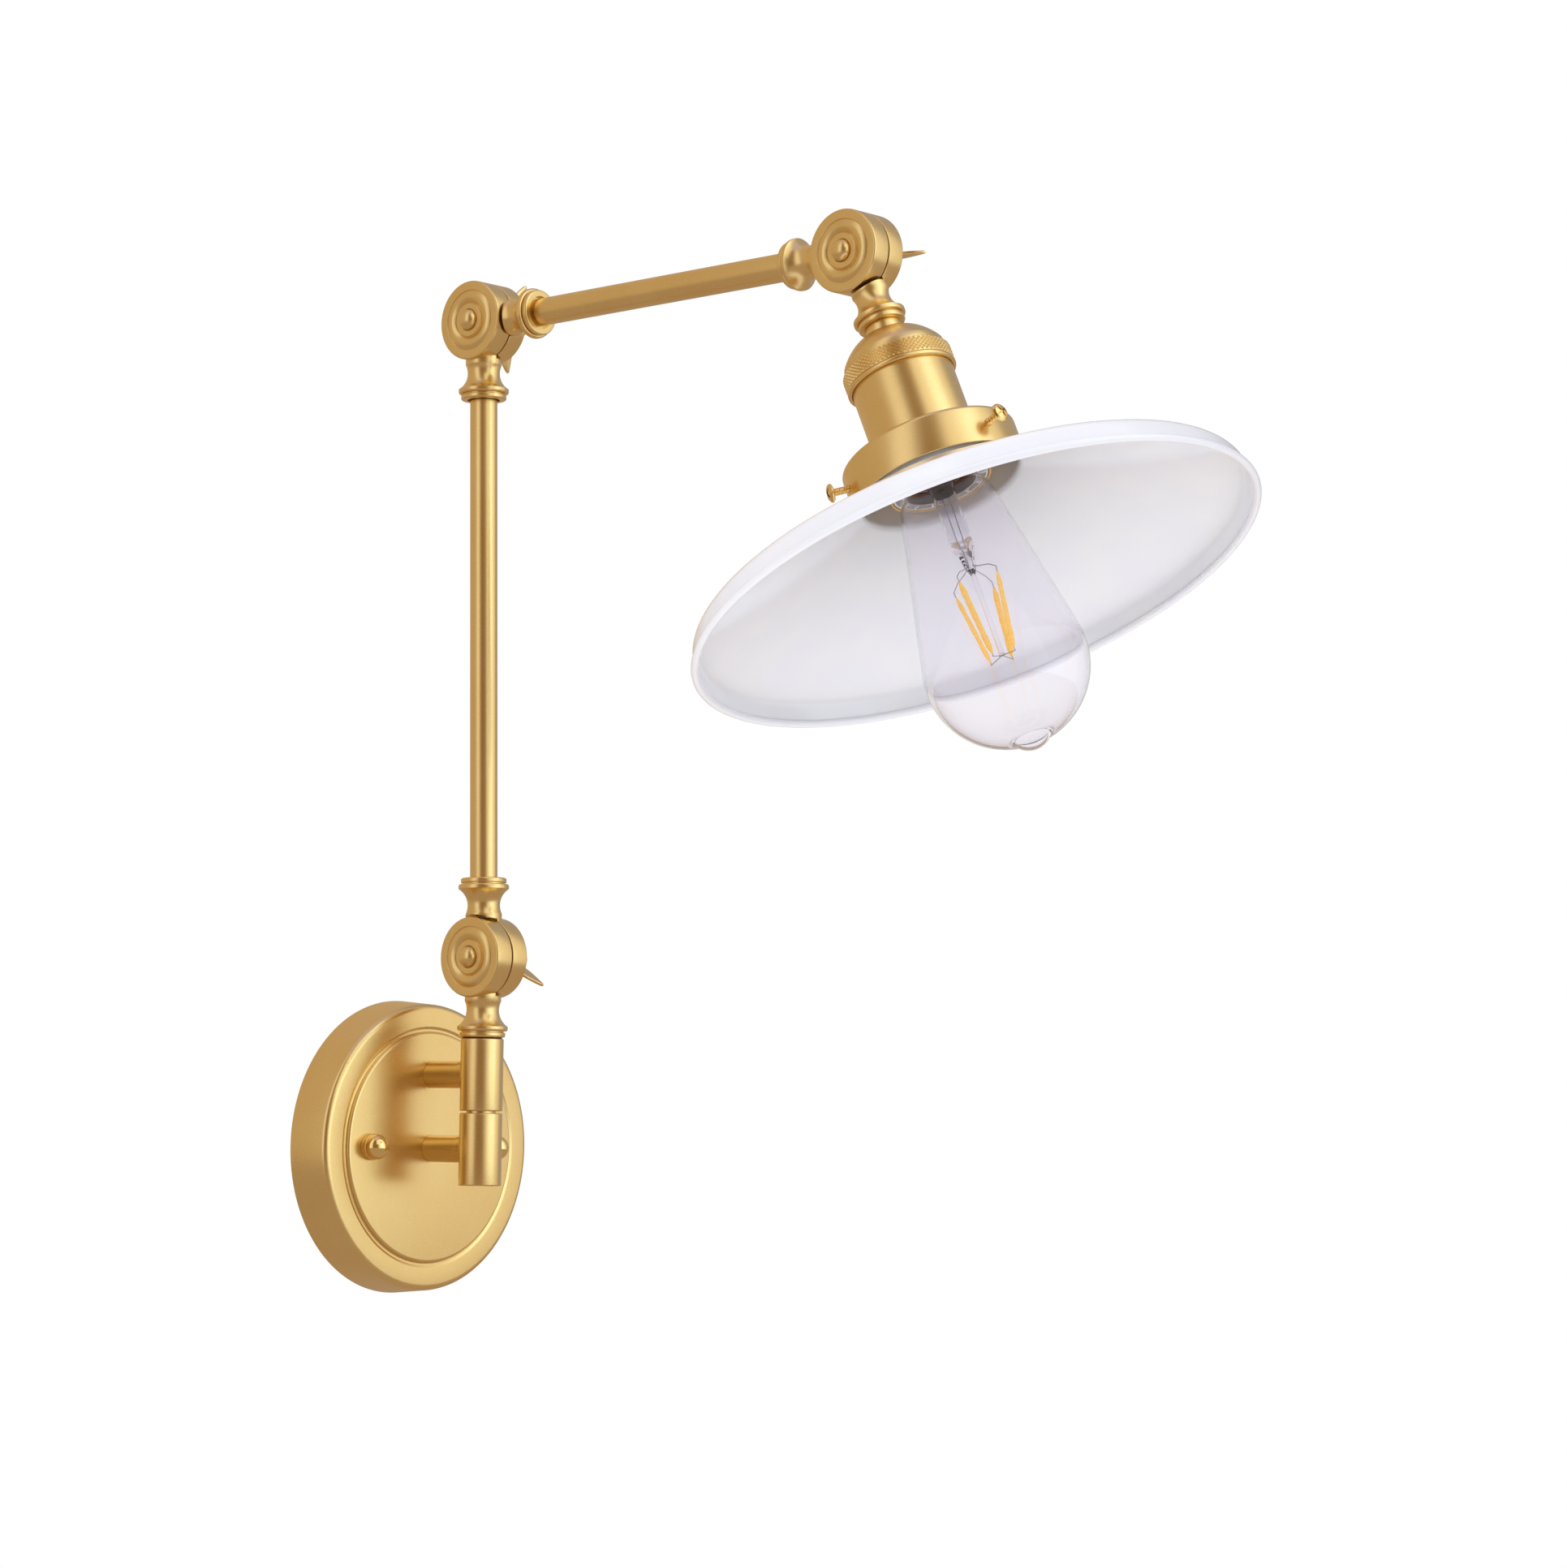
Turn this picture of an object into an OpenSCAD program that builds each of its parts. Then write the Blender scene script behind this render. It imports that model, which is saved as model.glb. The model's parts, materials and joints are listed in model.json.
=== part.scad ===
// Adjustable wall lamp: a round canopy, a vertical swivel, two arms joined by half-lap knuckles,
// and a tilting head with an enamelled shade and a clear filament bulb. Millimetres, degrees.
// The origin is the centre of the canopy on the wall. +Z is up, the wall is the plane Y = 0, and
// the lamp stands out towards -Y. At rest both arms lie in the plane X = 0, posed as photographed.

/* [Pose] */
// Lean of the lower arm away from the wall, from upright
arm1_lean = -1.5; // [-5:0.5:40]
// Rise of the upper arm above level
arm2_rise = 1.7; // [-20:0.1:40]
// Tilt of the lamp head away from the wall, from hanging straight down
head_tilt = 24.5; // [0:0.5:60]

/* [Canopy] */
// Diameter of the canopy at the wall
canopy_d = 120; // [110:1:150]
// Depth from the wall to the outer step of the face
canopy_depth = 18.8; // [17:0.2:30]
// Thickness of the pressed steel
canopy_wall = 1; // [0.8:0.1:1.5]
// Draft of the side, taken off the radius
canopy_draft = 1.6; // [0.5:0.1:3]
// Radius of the rounded front edge
canopy_edge_r = 2.6; // [2:0.1:5]
// Diameter of the raised centre
plateau_d = 94; // [86:1:100]
// Height of the raised centre
plateau_h = 1.4; // [1.2:0.1:2.5]

/* [Wall bracket] */
// Length of the crossbar
bracket_l = 102; // [98:1:106]
// Width of the crossbar
bracket_w = 24; // [22:1:30]
// Thickness of the crossbar
bracket_t = 2; // [1.5:0.1:3]
// Distance between the two canopy studs
stud_spacing = 70; // [64:1:76]
// Diameter of the canopy studs
stud_d = 4; // [3:0.5:5]
// Distance between the two wall screw slots
slot_spacing = 45; // [43:1:47]
// Width of the wall screw slots
slot_w = 4.6; // [4:0.1:5.5]
// Length of the wall screw slots, end to end
slot_l = 12; // [8:1:13]
// Diameter of the cable hole in the crossbar
cable_hole_d = 13; // [10:1:15]

/* [Cap nuts] */
// Diameter of the knurled foot of a cap nut
cap_nut_d = 10.8; // [10.6:0.1:14]
// Height of the knurled foot
cap_nut_foot_h = 2.6; // [2:0.1:5]
// Diameter of the dome of a cap nut
cap_nut_dome_d = 10.2; // [8:0.1:10.4]

/* [Posts and swivel] */
// Distance from the wall to the swivel axis
swivel_y = 48; // [42:0.5:60]
// Height of the lower post above the canopy's centre
post_z = -0.5; // [-4:0.5:2]
// Height between the two posts
post_pitch = 30.2; // [29:0.1:34]
// Outer diameter of a post
post_d = 11; // [10:0.1:12]
// Bore of a post
post_bore_d = 6.4; // [5:0.1:7]
// Diameter of the threaded end of a post
post_thread_d = 9; // [8:0.1:9.6]
// Outer diameter of the sleeves
sleeve_d = 17.5; // [16.5:0.1:20]
// Gap between the two sleeves
sleeve_gap = 0.8; // [0.4:0.1:1.5]
// Diameter of the swivel shaft
shaft_d = 12; // [11.6:0.1:13]
// Bore of the swivel shaft
shaft_bore_d = 8.2; // [6:0.1:8.6]
// Thickness of the dark washer on the upper sleeve
swivel_washer_t = 0.5; // [0.3:0.1:1]

/* [Knuckles] */
// Radius of the knuckle discs
disc_r = 16.3; // [15.5:0.1:18]
// Thickness of one disc
disc_t = 8.4; // [8:0.1:9]
// Gap between the two discs, filled by the friction washer
lap_gap = 0.6; // [0.4:0.1:1]
// Clearance round a disc where the other half's stem is cut away
lap_clear = 1.1; // [0.8:0.1:1.5]
// Length from the pivot to the end of a turned stem
stem_l = 32.4; // [32:0.1:36]
// Radius of the stem's waist
waist_r = 6.6; // [6.4:0.1:7]
// Radius of the stem's root, beside the disc
root_r = 7.4; // [7.1:0.1:8]
// Radius of the hollow curve under the rings
cove_r = 8; // [7.5:0.1:9]
// Radius of the wide ring on a stem
ring_r = 10.3; // [9.8:0.1:11]
// Height of the wide ring
ring_h = 1.9; // [1.6:0.1:2.2]
// Radius of the end ring on a stem
collar_r = 9.3; // [9:0.1:9.8]
// Height of the end ring
collar_h = 2; // [1.8:0.1:2.4]
// Diameter of the knuckle bolts
bolt_d = 5; // [4:0.5:6]
// Diameter of the domed bolt heads
bolt_head_d = 8.6; // [8:0.1:9]
// Height of the domed bolt heads above the face
bolt_head_h = 3.2; // [2.5:0.1:4]

/* [Wing nuts] */
// Diameter of a wing nut's hub at its foot
wing_hub_d = 10; // [9:0.1:12]
// Height of the hub
wing_hub_h = 6.5; // [5:0.1:8]
// Distance from the bolt's axis to a wing tip
wing_tip_r = 18.8; // [16:0.1:20]
// Height of the wings above the nut's foot
wing_h = 10.6; // [9:0.1:12]
// How far the bolt stands out of the hub
bolt_reach = 7.5; // [1:0.5:9]
// Thickness of a wing
wing_t = 2.2; // [1.6:0.1:3]
// Direction of the visible wing on the base knuckle, from +Z towards -Y
base_wing_angle = 126; // [0:1:359]
// Direction of the visible wing on the elbow knuckle
elbow_wing_angle = 195; // [0:1:359]
// Direction of the visible wing on the head knuckle
head_wing_angle = 84; // [0:1:359]

/* [Arms] */
// Length of the lower arm, from pivot to pivot
lower_arm_l = 262; // [200:1:320]
// Length of the upper arm, from pivot to pivot
upper_arm_l = 198; // [170:1:260]
// Outer diameter of the arm tubes
tube_d = 11.2; // [11:0.1:11.5]
// Bore of the arm tubes
tube_bore_d = 8.2; // [7.8:0.1:8.6]
// Length of tube held inside each stem
tube_seat = 9.6; // [9:0.1:10.5]
// Diameter of the twin-core lead inside the arms
lead_d = 6.6; // [6.4:0.1:6.8]

/* [Socket] */
// Diameter of the short neck above the socket cap
neck_d = 14.4; // [12:0.1:15]
// Height of that neck
neck_h = 4; // [3:0.1:6]
// Diameter of the threaded nipple in the neck
nipple_d = 9.8; // [9.4:0.1:9.8]
// Height of the socket cap
cap_h = 20.7; // [20:0.1:22]
// Radius of the cap at the knurled band
cap_r = 21.6; // [21.4:0.1:22.4]
// Height of the knurled band
band_h = 8.4; // [7.4:0.1:9]
// Radius of the cap's round shoulder
cap_dome_r = 23; // [22.6:0.1:25]
// Outer radius of the socket shell
shell_r = 20; // [19.8:0.1:20.2]
// Length of the socket shell
shell_l = 51.4; // [49:0.1:54]
// Wall of the socket shell
shell_wall = 0.9; // [0.8:0.1:1]
// How far the porcelain core is set back in the shell
core_set_back = 0.4; // [0.2:0.1:1]
// Wall of the porcelain core
core_wall = 4.6; // [4.4:0.1:4.8]
// Number of ribs in the porcelain mouth
core_ribs = 14; // [8:1:20]

/* [Shade holder] */
// Outer radius of the shade holder
holder_r = 34.3; // [34.1:0.1:36]
// Height of the shade holder
holder_h = 15.5; // [14.5:0.1:17]
// Wall of the shade holder
holder_wall = 1.2; // [1:0.1:1.5]
// Distance from the bottom of the socket shell up to the bottom of the holder
holder_rise = 0.5; // [0.2:0.1:3]
// Diameter of the shade screws
shade_screw_d = 3; // [2.5:0.1:3.5]
// Diameter of the shade screw heads
shade_screw_head_d = 6.8; // [6:0.1:8]
// Length of shank seen between the holder and the screw head
shade_screw_reach = 6.2; // [5:0.1:8]

/* [Shade] */
// Radius of the shade at its rim
shade_r = 112; // [100:1:125]
// Radius of the shade's neck
shade_neck_r = 31.6; // [31:0.1:31.8]
// Thickness of the enamelled steel
shade_wall = 1; // [0.8:0.1:1.4]
// Height of the neck inside the holder
shade_neck_h = 11; // [10.5:0.1:12]
// Height of the cone, from the neck to the shoulder
cone_h = 34.6; // [30:0.1:44]
// Height of the steep band below the shoulder
skirt_h = 9.8; // [8:0.1:12]
// How far the band spreads to the rim
skirt_spread = 3; // [2:0.5:5]
// Radius of the rolled edge
rim_bead_r = 1.5; // [1.2:0.1:2]

/* [Bulb] */
// Diameter of the bulb
bulb_d = 62.6; // [60:0.2:65]
// Overall length of the bulb, with its base
bulb_l = 147.5; // [142:0.5:150]
// Half angle of the bulb's cone
bulb_side_angle = 11; // [9:0.5:13]
// Outer diameter of the screw base
bulb_base_d = 26; // [25.8:0.1:26.2]
// Thickness of the glass
glass_t = 0.9; // [0.7:0.1:1.2]
// Length of a filament strip
filament_l = 29.9; // [28:0.1:32]
// Diameter of a filament strip
filament_d = 1.8; // [1.4:0.1:2.2]

/* [Hidden] */
$fn = 96;

// Colours
satin_gold = [0.80, 0.62, 0.33];
polished_gold = [0.86, 0.66, 0.30];
zinc = [0.68, 0.69, 0.70];
steel = [0.55, 0.56, 0.58];
green_paint = [0.13, 0.45, 0.22];
black_nylon = [0.07, 0.07, 0.07];
fibre = [0.30, 0.22, 0.16];
flex_grey = [0.55, 0.55, 0.55];
white_enamel = [0.93, 0.94, 0.97];
porcelain = [0.95, 0.94, 0.92];
copper = [0.78, 0.50, 0.40];
clear_glass = [0.90, 0.94, 0.97, 0.30];
black_glass = [0.05, 0.05, 0.08];
filament_yellow = [1.0, 0.78, 0.25];

// Clearances
running = 0.05;      // radial, where one piece turns in another
fitted = 0.1;        // radial, where a fixed piece passes through a hole
axial = 0.15;        // along an axis, between faces that turn on each other
e = 0.01;            // overlap that keeps cuts clean
far = 400;           // longer than any piece that is cut

// Canopy and posts, worked out from the sizes above
canopy_r = canopy_d / 2;
plateau_r = plateau_d / 2;
plateau_edge = 1;
face_y = canopy_depth + plateau_h;
post_zs = [post_z, post_z + post_pitch];
sleeve_h = post_pitch - sleeve_gap;
sleeve_top = post_zs[1] + sleeve_h / 2;
sleeve_bottom = post_zs[0] - sleeve_h / 2;
sleeve_chamfer = 0.4;
post_collar_h = 1.2;
post_collar_d = post_d + 1.2;
post_nut_h = 3;
post_nut_af = 13;
stud_nut_h = 3.2;
stud_nut_af = 7;
cap_nut_groove = 0.5;
cap_nut_straight = 0.4;
cap_nut_bore_h = cap_nut_foot_h + 2.4;
retainer_h = 2.6;
retainer_d = shaft_d + 2.6;
retainer_recess = retainer_h + 0.8;
shaft_foot = sleeve_bottom + 0.6;
window_w = post_bore_d;

// Knuckles
half_lap = lap_gap / 2;
face_x = half_lap + disc_t;
disc_edge = 0.6;
seam_edge = 0.3;
bulge_mid = 9.8;
bulge_half = 2.5;
bulge_h = 0.7;
bulge_arc_r = (bulge_half * bulge_half + bulge_h * bulge_h) / (2 * bulge_h);
boss_r = 6.9;
boss_h = 0.5;
head_seat = 0.5;
chamber_r0 = 5.6;
chamber_r1 = 11;
chamber_t = 3;
washer_r0 = 11.5;
washer_r1 = disc_r - 1.3;
ring_groove = 0.5;
ring_gap_r = 8.6;
ring_start = stem_l - collar_h - ring_groove - ring_h;
cove_mid = ring_start - sqrt(pow(cove_r, 2) - pow(waist_r + cove_r - ring_r, 2));
mouth_r = 6.7;
mouth_t = 1.8;
passage_r = 3.5;
wing_washer_t = 0.8;
wing_washer_r = 5.8;
wing_foot_x = face_x + wing_washer_t + axial;
bolt_end_x = wing_foot_x + wing_hub_h + bolt_reach;
// Corners of a wing, as shares of its height and of its reach
wing_corners = [[0.15, 0.14], [0.16, 0.32], [0.25, 0.53], [0.4, 0.7], [0.6, 0.845], [0.81, 0.95],
    [0.93, 1], [1, 0.98], [0.99, 0.75], [0.95, 0.51], [0.84, 0.32], [0.58, 0.19], [0.58, 0.14]];

// Pivots
base_pivot = [0, -swivel_y, sleeve_top + swivel_washer_t + stem_l];
elbow_pivot = base_pivot + lower_arm_l * along(arm1_lean);
head_pivot = elbow_pivot + upper_arm_l * along(90 - arm2_rise);
spigot_d = tube_d;

// Places along the head's axis, measured from the head pivot
neck_s = stem_l;
cap_s = neck_s + neck_h;
cap_end = cap_s + cap_h;
band_s = cap_end - band_h;
cap_top_r = neck_d / 2 + 1.4;
cap_wall = 1.2;
cap_dome_mid = cap_s + sqrt(pow(cap_dome_r, 2) - pow(cap_top_r, 2));
nipple_end = cap_s + 7.5;
shell_grip = 5.5;
nipple_nut_h = 3;
nipple_nut_af = 13;
shell_s = cap_end - shell_grip;
shell_end = shell_s + shell_l;
core_r = shell_r - shell_wall - fitted;
core_bore_r = core_r - core_wall;
core_end = shell_end - core_set_back;
bulb_sunk = 4.4;
bulb_base_l = 27;
contact_h = 1.2;
insulator_h = 4;
bulb_s = core_end - bulb_sunk - bulb_base_l;
contact_s = bulb_s - insulator_h - contact_h;
core_floor_t = 6;
core_floor_s = contact_s - 1.5 - core_floor_t;
rib_depth = 3.4;
rib_w = 1;
holder_end = shell_end - holder_rise;
holder_s = holder_end - holder_h;
holder_edge = 1.6;
ring_nut_r = shell_r + 4;
ring_nut_h = 3.4;
shade_neck_s = holder_end + 0.5 - shade_neck_h;
cone_s = holder_end + 0.5;
shoulder_s = cone_s + cone_h;
rim_s = shoulder_s + skirt_h;
screw_s = holder_s + holder_h / 2;
screw_tip_r = shade_neck_r + fitted;
screw_head_r = holder_r + shade_screw_reach;
screw_head_h = 2.2;

// Bulb, also along the head's axis
bulb_r = bulb_d / 2;
pip_r = 3.6;
pip_h = 3.2;
bulb_end = contact_s + bulb_l;
globe_s = bulb_end - pip_h - bulb_r;
tangent_s = globe_s - bulb_r * sin(bulb_side_angle);
tangent_r = bulb_r * cos(bulb_side_angle);
glass_grip = 3.2;
glass_foot_s = bulb_s + bulb_base_l - glass_grip + 0.2;
base_wall = 0.7;
base_cone_h = 2.4;
insulator_r = bulb_base_d / 2 - 4;
glass_foot_r = bulb_base_d / 2 - base_wall - fitted;
glass_neck_s = glass_foot_s + 0.46 * bulb_base_d;
glass_bend_s = glass_neck_s - 0.17 * bulb_base_d;
glass_neck_r = tangent_r - (tangent_s - glass_neck_s) * tan(bulb_side_angle);
pinch_s = globe_s - 1.3 * bulb_r;
filament_top_r = 10.5;
filament_foot_r = 6;
filament_top_s = pinch_s + 6.9;
filament_drop = sqrt(pow(filament_l, 2) - pow(filament_top_r - filament_foot_r, 2));
filament_angles = [0, 90, 180, 270];
rod_r = 1;
wire_r = 0.3;

// Direction at an angle from upright towards -Y
function along(a) = [0, -sin(a), cos(a)];

// Points local +Z away from the wall
module facing_out() rotate([90, 0, 0]) children();

// Points local +Z along +X (side = 1) or -X (side = -1)
module about_x(side) rotate([0, 90 * side, 0]) children();

module at_base(a) translate(base_pivot) rotate([a, 0, 0]) children();
module at_elbow(a) translate(elbow_pivot) rotate([a, 0, 0]) children();
module at_head(a) translate(head_pivot) rotate([a, 0, 0]) children();

// The lamp head's own frame: +Z runs from the head pivot down through the bulb, +Y points outwards
module in_head() at_head(180 - head_tilt) children();

module tube(r1, r0, h) {
    difference() {
        cylinder(r = r1, h = h);
        translate([0, 0, -e]) cylinder(r = r0, h = h + 2 * e);
    }
}

module hex(af, h) cylinder(d = af / cos(30), h = h, $fn = 6);

module ring_profile(r0, r1, h, edge) {
    // A band between two radii whose outer corners are rounded
    translate([r0, 0]) square([r1 - edge - r0, h]);
    translate([r0, edge]) square([r1 - r0, h - 2 * edge]);
    for (y = [edge, h - edge]) translate([r1 - edge, y]) circle(r = edge);
}

// Wall bracket

module mounting_bracket() {
    color(zinc) facing_out() difference() {
        linear_extrude(bracket_t) difference() {
            intersection() {
                square([bracket_l, bracket_w], center = true);
                circle(d = bracket_l);
            }
            for (side = [-1, 1]) {
                translate([side * slot_spacing / 2, 0]) slot_2d(slot_l, slot_w);
            }
            circle(d = cable_hole_d);
        }
        for (side = [-1, 1]) translate([side * stud_spacing / 2, 0, -e])
            cylinder(d = stud_d, h = bracket_t + 2 * e);
        translate([0, ground_z, -e]) cylinder(d = ground_d, h = bracket_t + 2 * e);
    }
}
ground_d = 3.5;
ground_z = -bracket_w / 2 + 3.6;

module slot_2d(l, w) {
    square([l - w, w], center = true);
    for (side = [-1, 1]) translate([side * (l - w) / 2, 0]) circle(d = w);
}

module ground_screw() {
    head_r = 3.3;
    color(green_paint) translate([0, 0, ground_z]) facing_out() {
        translate([0, 0, 0.2]) cylinder(d = ground_d, h = bracket_t - 0.2);
        translate([0, 0, bracket_t]) rotate_extrude() ring_quarter(head_r, 2.4);
    }
}

// Half profile of a low dome that stands on its flat side
module ring_quarter(r, h) {
    dome_r = (r * r + h * h) / (2 * h);
    intersection() {
        translate([0, h - dome_r]) circle(r = dome_r);
        square([r, h]);
    }
}

module canopy_studs() {
    color(steel) for (side = [-1, 1]) translate([side * stud_spacing / 2, 0, 0]) facing_out()
        translate([0, 0, 0.2]) cylinder(d = stud_d, h = face_y + cap_nut_bore_h - 0.6);
}

module stud_nuts() {
    color(zinc) for (side = [-1, 1]) translate([side * stud_spacing / 2, 0, 0]) facing_out()
        translate([0, 0, bracket_t]) difference() {
            hex(stud_nut_af, stud_nut_h);
            translate([0, 0, -e]) cylinder(d = stud_d, h = stud_nut_h + 2 * e);
        }
}

// Canopy

module canopy_half_section(inset) {
    r = canopy_r - inset;
    edge = canopy_edge_r - inset;
    top = canopy_depth - inset;
    front_r = r - canopy_draft;
    polygon([[0, 0], [r, 0], [front_r, top - edge], [front_r - edge, top], [0, top]]);
    translate([front_r - edge, top - edge]) circle(r = edge);
    step = plateau_r - inset;
    translate([0, top - e]) square([step - plateau_edge, plateau_h + e]);
    translate([0, top - e]) square([step, plateau_h + e - plateau_edge]);
    translate([step - plateau_edge, top + plateau_h - plateau_edge]) circle(r = plateau_edge);
}

module canopy_cover() {
    color(satin_gold) facing_out() difference() {
        rotate_extrude($fn = 180) difference() {
            canopy_half_section(0);
            canopy_half_section(canopy_wall);
            translate([-far, -far]) square([2 * far, far]);
        }
        for (side = [-1, 1]) translate([side * stud_spacing / 2, 0, canopy_depth / 2])
            cylinder(r = stud_d / 2 + fitted, h = canopy_depth);
        for (z = post_zs) translate([0, z, canopy_depth / 2])
            cylinder(r = post_thread_d / 2 + fitted, h = canopy_depth);
    }
}

module cap_nut(side) {
    dome_r = cap_nut_dome_d / 2;
    neck_r = dome_r - 0.6;
    dome_s = cap_nut_foot_h + cap_nut_groove;
    color(polished_gold) translate([side * stud_spacing / 2, 0, 0]) facing_out()
        translate([0, 0, face_y]) difference() {
            rotate_extrude() {
                ring_profile(0, cap_nut_d / 2, cap_nut_foot_h, 0.5);
                translate([0, cap_nut_foot_h - e]) square([neck_r, cap_nut_groove + 2 * e]);
                translate([0, dome_s]) square([dome_r, cap_nut_straight]);
                translate([0, dome_s + cap_nut_straight]) intersection() {
                    circle(r = dome_r);
                    square([dome_r, dome_r]);
                }
            }
            translate([0, 0, -e]) cylinder(d = stud_d, h = cap_nut_bore_h + e);
        }
}
module cap_nut_left() cap_nut(-1);
module cap_nut_right() cap_nut(1);

// Posts and sleeves

module post(z) {
    reach = swivel_y - face_y;
    color(satin_gold) translate([0, 0, z]) facing_out() difference() {
        union() {
            translate([0, 0, face_y]) cylinder(d = post_d, h = reach);
            translate([0, 0, face_y - canopy_wall - post_nut_h - 1])
                cylinder(d = post_thread_d, h = canopy_wall + post_nut_h + 1 + e);
            translate([0, 0, swivel_y - sleeve_d / 2 - post_collar_h])
                cylinder(d = post_collar_d, h = sleeve_d / 2);
        }
        cylinder(d = post_bore_d, h = far);
        translate([0, -sleeve_h, swivel_y]) rotate([-90, 0, 0])
            cylinder(d = sleeve_d, h = 2 * sleeve_h);
        translate([-far / 2, -far / 2, swivel_y]) cube(far);
    }
}
module lower_post() post(post_zs[0]);
module upper_post() post(post_zs[1]);

module post_nuts() {
    color(zinc) for (z = post_zs) translate([0, 0, z]) facing_out()
        translate([0, 0, face_y - canopy_wall - post_nut_h]) difference() {
            hex(post_nut_af, post_nut_h);
            translate([0, 0, -e]) cylinder(d = post_thread_d, h = post_nut_h + 2 * e);
        }
}

module sleeve(z) {
    color(satin_gold) translate([0, -swivel_y, z - sleeve_h / 2]) difference() {
        rotate_extrude() difference() {
            square([sleeve_d / 2, sleeve_h]);
            square([shaft_d / 2 + running, sleeve_h]);
            for (y = [0, sleeve_h]) translate([sleeve_d / 2, y]) rotate(45)
                square(sleeve_chamfer * sqrt(2), center = true);
        }
        translate([0, 0, sleeve_h / 2]) rotate([-90, 0, 0])
            cylinder(d = post_bore_d, h = sleeve_d);
        children();
    }
}

module lower_sleeve() {
    sleeve(post_zs[0]) translate([0, 0, -e])
        cylinder(r = retainer_d / 2 + fitted, h = retainer_recess + e);
}
module upper_sleeve() sleeve(post_zs[1]);

// Swivel

module swivel_shaft() {
    seat_s = sleeve_top + swivel_washer_t;
    color(satin_gold) translate([0, -swivel_y, 0]) difference() {
        union() {
            translate([0, 0, shaft_foot]) cylinder(d = shaft_d, h = seat_s - shaft_foot);
            translate([0, 0, seat_s - e]) cylinder(d = spigot_d, h = tube_seat);
        }
        translate([0, 0, shaft_foot - e]) cylinder(d = shaft_bore_d, h = far);
        for (z = post_zs) translate([0, -e, z]) rotate([-90, 0, 0])
            cylinder(d = window_w, h = shaft_d);
    }
}

module swivel_washer() {
    color(black_nylon) translate([0, -swivel_y, sleeve_top])
        tube(sleeve_d / 2 - 0.7, shaft_d / 2 + running, swivel_washer_t);
}

module swivel_retaining_nut() {
    color(zinc) translate([0, -swivel_y, sleeve_bottom + retainer_recess - axial - retainer_h])
        tube(retainer_d / 2, shaft_d / 2, retainer_h);
}

// Knuckles. A half is one disc with a turned stem. Its stem runs along local +Z from the pivot,
// and the disc lies on one side of the plane X = 0.

module disc_half_section() {
    difference() {
        union() {
            translate([0, seam_edge]) square([disc_r, disc_t - disc_edge - seam_edge]);
            square([disc_r - seam_edge, disc_t]);
            translate([disc_r - disc_edge, disc_t - disc_edge]) circle(r = disc_edge);
            intersection() {
                translate([bulge_mid, disc_t + bulge_h - bulge_arc_r]) circle(r = bulge_arc_r);
                translate([bulge_mid - bulge_half, disc_t - e]) square([2 * bulge_half, 3]);
            }
            translate([0, disc_t - e]) ring_profile(0, boss_r, boss_h + e, 0.25);
        }
        translate([disc_r - disc_edge, disc_t - disc_edge]) difference() {
            square(disc_edge + e);
            circle(r = disc_edge);
        }
        for (x = [bulge_mid - bulge_half, bulge_mid + bulge_half])
            translate([x, disc_t + 0.1]) circle(r = 0.35);
        square([bolt_d / 2 + running, disc_t + 2]);
        translate([chamber_r0, -e]) square([chamber_r1 - chamber_r0, chamber_t + e]);
    }
}

module stem_half_section() {
    difference() {
        union() {
            square([root_r, cove_mid]);
            translate([0, cove_mid - e]) square([ring_r - 0.3, ring_start - cove_mid + 2 * e]);
        }
        translate([waist_r + cove_r, cove_mid]) circle(r = cove_r);
    }
    translate([0, ring_start]) ring_profile(0, ring_r, ring_h, 0.85);
    translate([0, ring_start + ring_h - e]) square([ring_gap_r, ring_groove + 2 * e]);
    translate([0, stem_l - collar_h]) ring_profile(0, collar_r, collar_h, 0.7);
}

module knuckle_half(side, seat_d) {
    color(satin_gold) difference() {
        union() {
            difference() {
                rotate_extrude() stem_half_section();
                about_x(side) cylinder(r = chamber_r1 + 0.8, h = far, center = true);
                about_x(-side) translate([0, 0, -half_lap])
                    cylinder(r = disc_r + lap_clear, h = far);
            }
            about_x(side) translate([0, 0, half_lap]) rotate_extrude() disc_half_section();
        }
        translate([0, 0, (chamber_r0 + chamber_r1) / 2]) cylinder(r = passage_r, h = stem_l);
        translate([0, 0, stem_l - tube_seat]) cylinder(d = seat_d, h = tube_seat + e);
        translate([0, 0, stem_l - mouth_t]) cylinder(r = mouth_r, h = mouth_t + e);
        if (side < 0) about_x(side) translate([0, 0, face_x + boss_h - head_seat])
            cylinder(r = bolt_head_d / 2 + fitted, h = head_seat + e);
    }
}

module bolt() {
    head_x = face_x + boss_h - head_seat;
    color(satin_gold) about_x(-1) {
        translate([0, 0, head_x]) {
            cylinder(d = bolt_head_d, h = head_seat);
            translate([0, 0, head_seat]) rotate_extrude() ring_quarter(bolt_head_d / 2, bolt_head_h);
        }
        translate([0, 0, -bolt_end_x]) cylinder(d = bolt_d, h = bolt_end_x + head_x + e);
    }
}

module friction_washer() {
    color(fibre) about_x(1) translate([0, 0, -half_lap])
        tube(washer_r1, washer_r0, lap_gap - axial / 2);
}

module wing_washer() {
    color(zinc) about_x(1) translate([0, 0, face_x + boss_h])
        tube(wing_washer_r, bolt_d / 2 + running, wing_washer_t - boss_h);
}

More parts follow.
